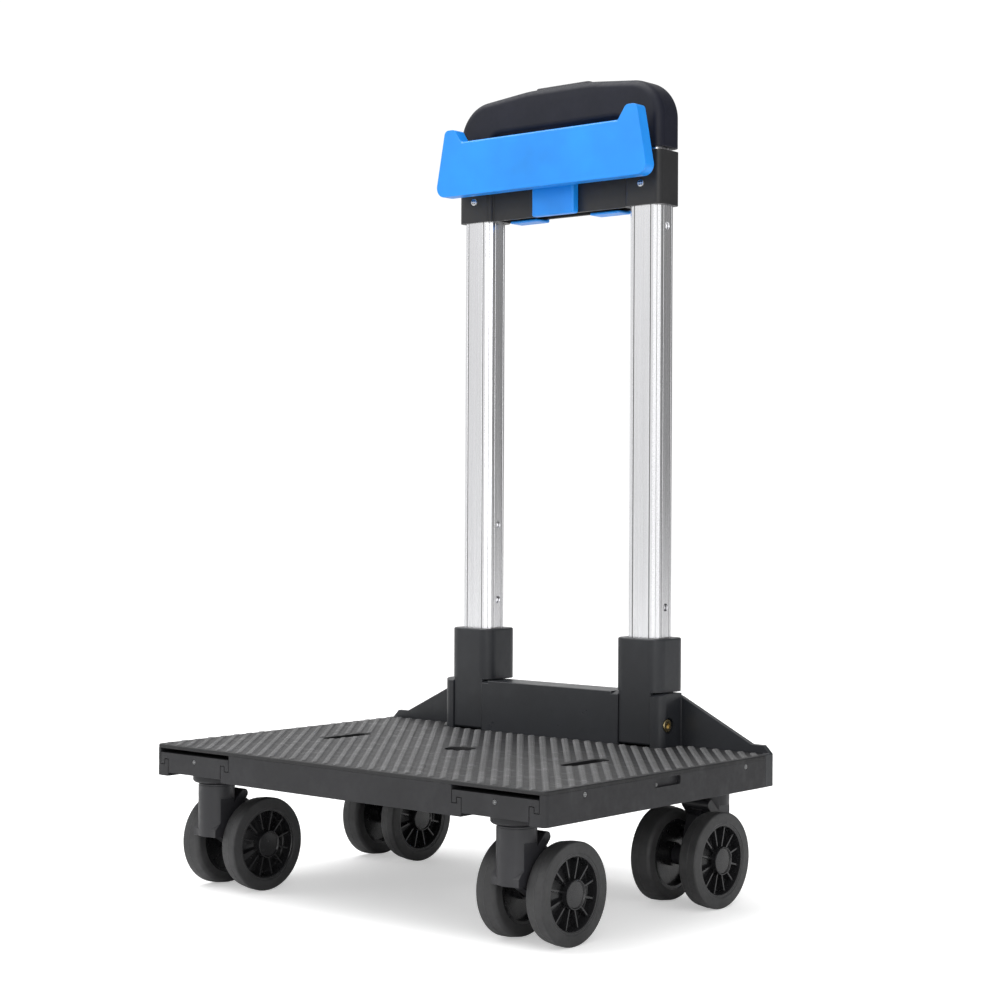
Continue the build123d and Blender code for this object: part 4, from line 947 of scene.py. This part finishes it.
pin_low, pin_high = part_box("lock_pin_right")
lower_hole_z = (pin_low.z + pin_high.z) / 2
middle_hole_z = lower_hole_z + 67.0 * MM
slide = next(j for j in frame["joints"] if j["name"] == "handle_slide")
upper_hole_z = lower_hole_z + slide["range_m"][1]
collar_low, collar_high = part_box("collar_screws")
collar_screw_z = (collar_low.z + collar_high.z) / 2
foot_screw_low, foot_screw_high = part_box("foot_screws")
foot_screw_z = (foot_screw_low.z + foot_screw_high.z) / 2
for side, outward in (("left", -1), ("right", 1)):
    low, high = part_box(f"outer_tube_{side}")
    centre = (low + high) / 2
    half = (high - low) / 2
    tube = tube_mesh(centre, half.x, half.y, low.z, high.z, True)
    piece = finished(f"outer_tube_{side}_extrusion", tube, tube_aluminium)
    holes = []
    for z, face in ((lower_hole_z, 1), (upper_hole_z, 1), (lower_hole_z, -1), (middle_hole_z, -1)):
        spot = (centre.x + outward * face * half.x, centre.y, z)
        holes.append((spot, hole_radius_tube, "X", 4 * tube_wall))
    holes.append(((centre.x, high.y, foot_screw_z), screw_hole, "Y", 4 * tube_wall))
    holes.append(((centre.x, low.y, collar_screw_z), screw_hole, "Y", 4 * tube_wall))
    punched(piece, holes)
    piece.data.shade_smooth()
    piece.data.set_sharp_from_angle(angle=math.radians(tube_sharp_degrees))
    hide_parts(f"outer_tube_{side}")
    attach(piece, "mast")
painted(tube_aluminium, "inner_tube_left", "inner_tube_right")


# ---------------------------------------------------------------------------------------------
# Crossbar: two collars joined by a beam, moulded in black, pressed over the tube tops.
# ---------------------------------------------------------------------------------------------
collar_plastic = moulded_plastic("crossbar plastic", (0.016, 0.016, 0.017), 0.42, grain=0.4 * MM,
                                 grain_depth=0.02 * MM, scuffs=0.08)
softened("crossbar", collar_plastic, 0.5 * MM, "mast")


# ---------------------------------------------------------------------------------------------
# Bag hook plate: light blue moulded plastic, satin, clipped over the crossbar's beam.
# ---------------------------------------------------------------------------------------------
blue_plastic = moulded_plastic("blue plastic", (0.008, 0.27, 0.86), 0.36, grain=0.5 * MM,
                               grain_depth=0.012 * MM, scuffs=0.03)
softened("hook_plate", blue_plastic, 1.6 * MM, "mast")


# ---------------------------------------------------------------------------------------------
# Handle: soft-touch grip over the inner tubes, in dark navy rubber, with a satin button in its
# top and a cover below. Inside are a push bar, a spring and the lock pins.
# ---------------------------------------------------------------------------------------------
grip_soft = rubber("soft grip rubber", ((0.0045, 0.0055, 0.012), (0.0080, 0.0090, 0.018)), (0.52, 0.40),
                   (30.0, 4.0), (220.0, 4.0), (2400.0, 2.0), 0.02 * MM, specular=0.30)
grip_trim = moulded_plastic("grip trim", (0.014, 0.014, 0.021), 0.36, grain=0.4 * MM,
                            grain_depth=0.012 * MM, scuffs=0.06)
softened("grip_upper", grip_soft, 0.6 * MM, "handle")
softened("grip_lower", grip_trim, 0.3 * MM, "handle")
softened("button", grip_trim, 0.3 * MM, "release")
guide_plastic = moulded_plastic("guide nylon", (0.012, 0.012, 0.012), 0.45)
push_bar_plastic = moulded_plastic("glass-filled nylon", (0.17, 0.17, 0.175), 0.5)
pin_steel = plated_metal("turned steel", (0.60, 0.60, 0.61), 0.22)
painted(guide_plastic, "lock_housing_left", "lock_housing_right")
painted(pin_steel, "lock_pin_left", "lock_pin_right", "button_spring")
painted(push_bar_plastic, "push_bar")


# ---------------------------------------------------------------------------------------------
# Studio: a plain pale floor, soft lights overhead, in front and at the side, and a bright room.
# The camera stands a little above the deck, to the front right of the cart.
# ---------------------------------------------------------------------------------------------
floor_radius = 9.0
floor_mesh = bpy.data.meshes.new("floor")
floor_disc = bmesh.new()
bmesh.ops.create_circle(floor_disc, cap_ends=True, segments=96, radius=floor_radius)
floor_disc.to_mesh(floor_mesh)
floor_disc.free()
floor = bpy.data.objects.new("floor", floor_mesh)
bpy.context.scene.collection.objects.link(floor)
paper, paper_tree, paper_shader = new_material("paper floor")
paper_shader.inputs["Base Color"].default_value = (0.88, 0.88, 0.88, 1.0)
paper_shader.inputs["Roughness"].default_value = 0.9
paper_shader.inputs["Specular IOR Level"].default_value = 0.1
paper_seen = add_node(paper_tree, "ShaderNodeLightPath", -400, 500)
paper_lift = spread(paper_tree, paper_seen.outputs["Is Camera Ray"], 0.0, 0.42, x=-200, y=500)
paper_shader.inputs["Emission Color"].default_value = (1.0, 1.0, 1.0, 1.0)
paper_tree.links.new(paper_lift, paper_shader.inputs["Emission Strength"])
floor_mesh.materials.append(paper)


def soft_light(name, place, target, width, height, watts):
    """A rectangular soft light that faces a point."""
    data = bpy.data.lights.new(name, "AREA")
    data.shape = "RECTANGLE"
    data.size = width
    data.size_y = height
    data.energy = watts
    lamp = bpy.data.objects.new(name, data)
    bpy.context.scene.collection.objects.link(lamp)
    lamp.location = place
    lamp.rotation_mode = "QUATERNION"
    lamp.rotation_quaternion = (Vector(place) - Vector(target)).to_track_quat("Z", "Y")
    lamp.visible_camera = False
    return lamp


soft_light("overhead", (-0.8, -0.6, 3.0), (0, 0, 0.2), 2.6, 2.6, 60)
soft_light("front left", (-2.2, -2.6, 2.2), (0, 0, 0.3), 1.4, 1.4, 12)
soft_light("front strip", (1.9, -2.1, 1.1), (0, 0, 0.35), 0.7, 2.2, 9)
side_fill = soft_light("side fill", (3.0, -0.3, 1.0), (0, 0, 0.35), 2.4, 2.4, 32)
side_fill.visible_glossy = False

world = bpy.data.worlds.new("bright room")
bpy.context.scene.world = world
world.use_nodes = True
sky = world.node_tree
sky.nodes.clear()
sky_out = add_node(sky, "ShaderNodeOutputWorld", 600, 0)
room = add_node(sky, "ShaderNodeBackground", 200, 100)
backdrop = add_node(sky, "ShaderNodeBackground", 200, -100)
backdrop.inputs["Color"].default_value = (1.0, 1.0, 1.0, 1.0)
backdrop.inputs["Strength"].default_value = 1.05
chosen = add_node(sky, "ShaderNodeMixShader", 400, 0)
seen = add_node(sky, "ShaderNodeLightPath", 0, 300)
direction = add_node(sky, "ShaderNodeTexCoord", -600, 0)
towards = add_node(sky, "ShaderNodeVectorMath", -400, 0, operation="DOT_PRODUCT")
towards.inputs[1].default_value = (0.325, 0.38, 0.0)
shifted = add_node(sky, "ShaderNodeMath", -200, 0, operation="ADD")
shifted.inputs[1].default_value = 0.5
sky.links.new(towards.outputs["Value"], shifted.inputs[0])
walls = add_node(sky, "ShaderNodeValToRGB", 0, 0)
tones = ((0.0, 0.76), (0.3, 0.86), (0.44, 1.0), (0.62, 0.85), (0.78, 0.25), (1.0, 0.24))
while len(walls.color_ramp.elements) < len(tones):
    walls.color_ramp.elements.new(0.5)
for element, (where, tone) in zip(walls.color_ramp.elements, tones):
    element.position = where
    element.color = (tone, tone, tone, 1.0)
sky.links.new(shifted.outputs["Value"], walls.inputs["Fac"])
sky.links.new(walls.outputs["Color"], room.inputs["Color"])
sky.links.new(direction.outputs["Generated"], towards.inputs[0])
sky.links.new(seen.outputs["Is Camera Ray"], chosen.inputs["Fac"])
sky.links.new(room.outputs["Background"], chosen.inputs[1])
sky.links.new(backdrop.outputs["Background"], chosen.inputs[2])
sky.links.new(chosen.outputs["Shader"], sky_out.inputs["Surface"])
bpy.context.scene.view_settings.view_transform = "Standard"

camera_place = Vector((1.1379, -1.2811, 0.3303))
camera_azimuth = math.radians(40.62)
camera_pitch = math.radians(-0.16)
camera_roll = math.radians(0.27)
focal_length = 74.81
forward = Vector((-math.sin(camera_azimuth) * math.cos(camera_pitch),
                  math.cos(camera_azimuth) * math.cos(camera_pitch), math.sin(camera_pitch)))
level = Vector((math.cos(camera_azimuth), math.sin(camera_azimuth), 0.0))
upward = level.cross(forward)
right = level * math.cos(camera_roll) + upward * math.sin(camera_roll)
up = upward * math.cos(camera_roll) - level * math.sin(camera_roll)
lens = bpy.data.cameras.new("camera")
lens.lens = focal_length
lens.sensor_width = 36.0
lens.clip_start = 0.05
lens.clip_end = 60.0
camera = bpy.data.objects.new("camera", lens)
bpy.context.scene.collection.objects.link(camera)
camera.matrix_world = Matrix((
    (right.x, up.x, -forward.x, camera_place.x),
    (right.y, up.y, -forward.y, camera_place.y),
    (right.z, up.z, -forward.z, camera_place.z),
    (0.0, 0.0, 0.0, 1.0)))
bpy.context.scene.camera = camera
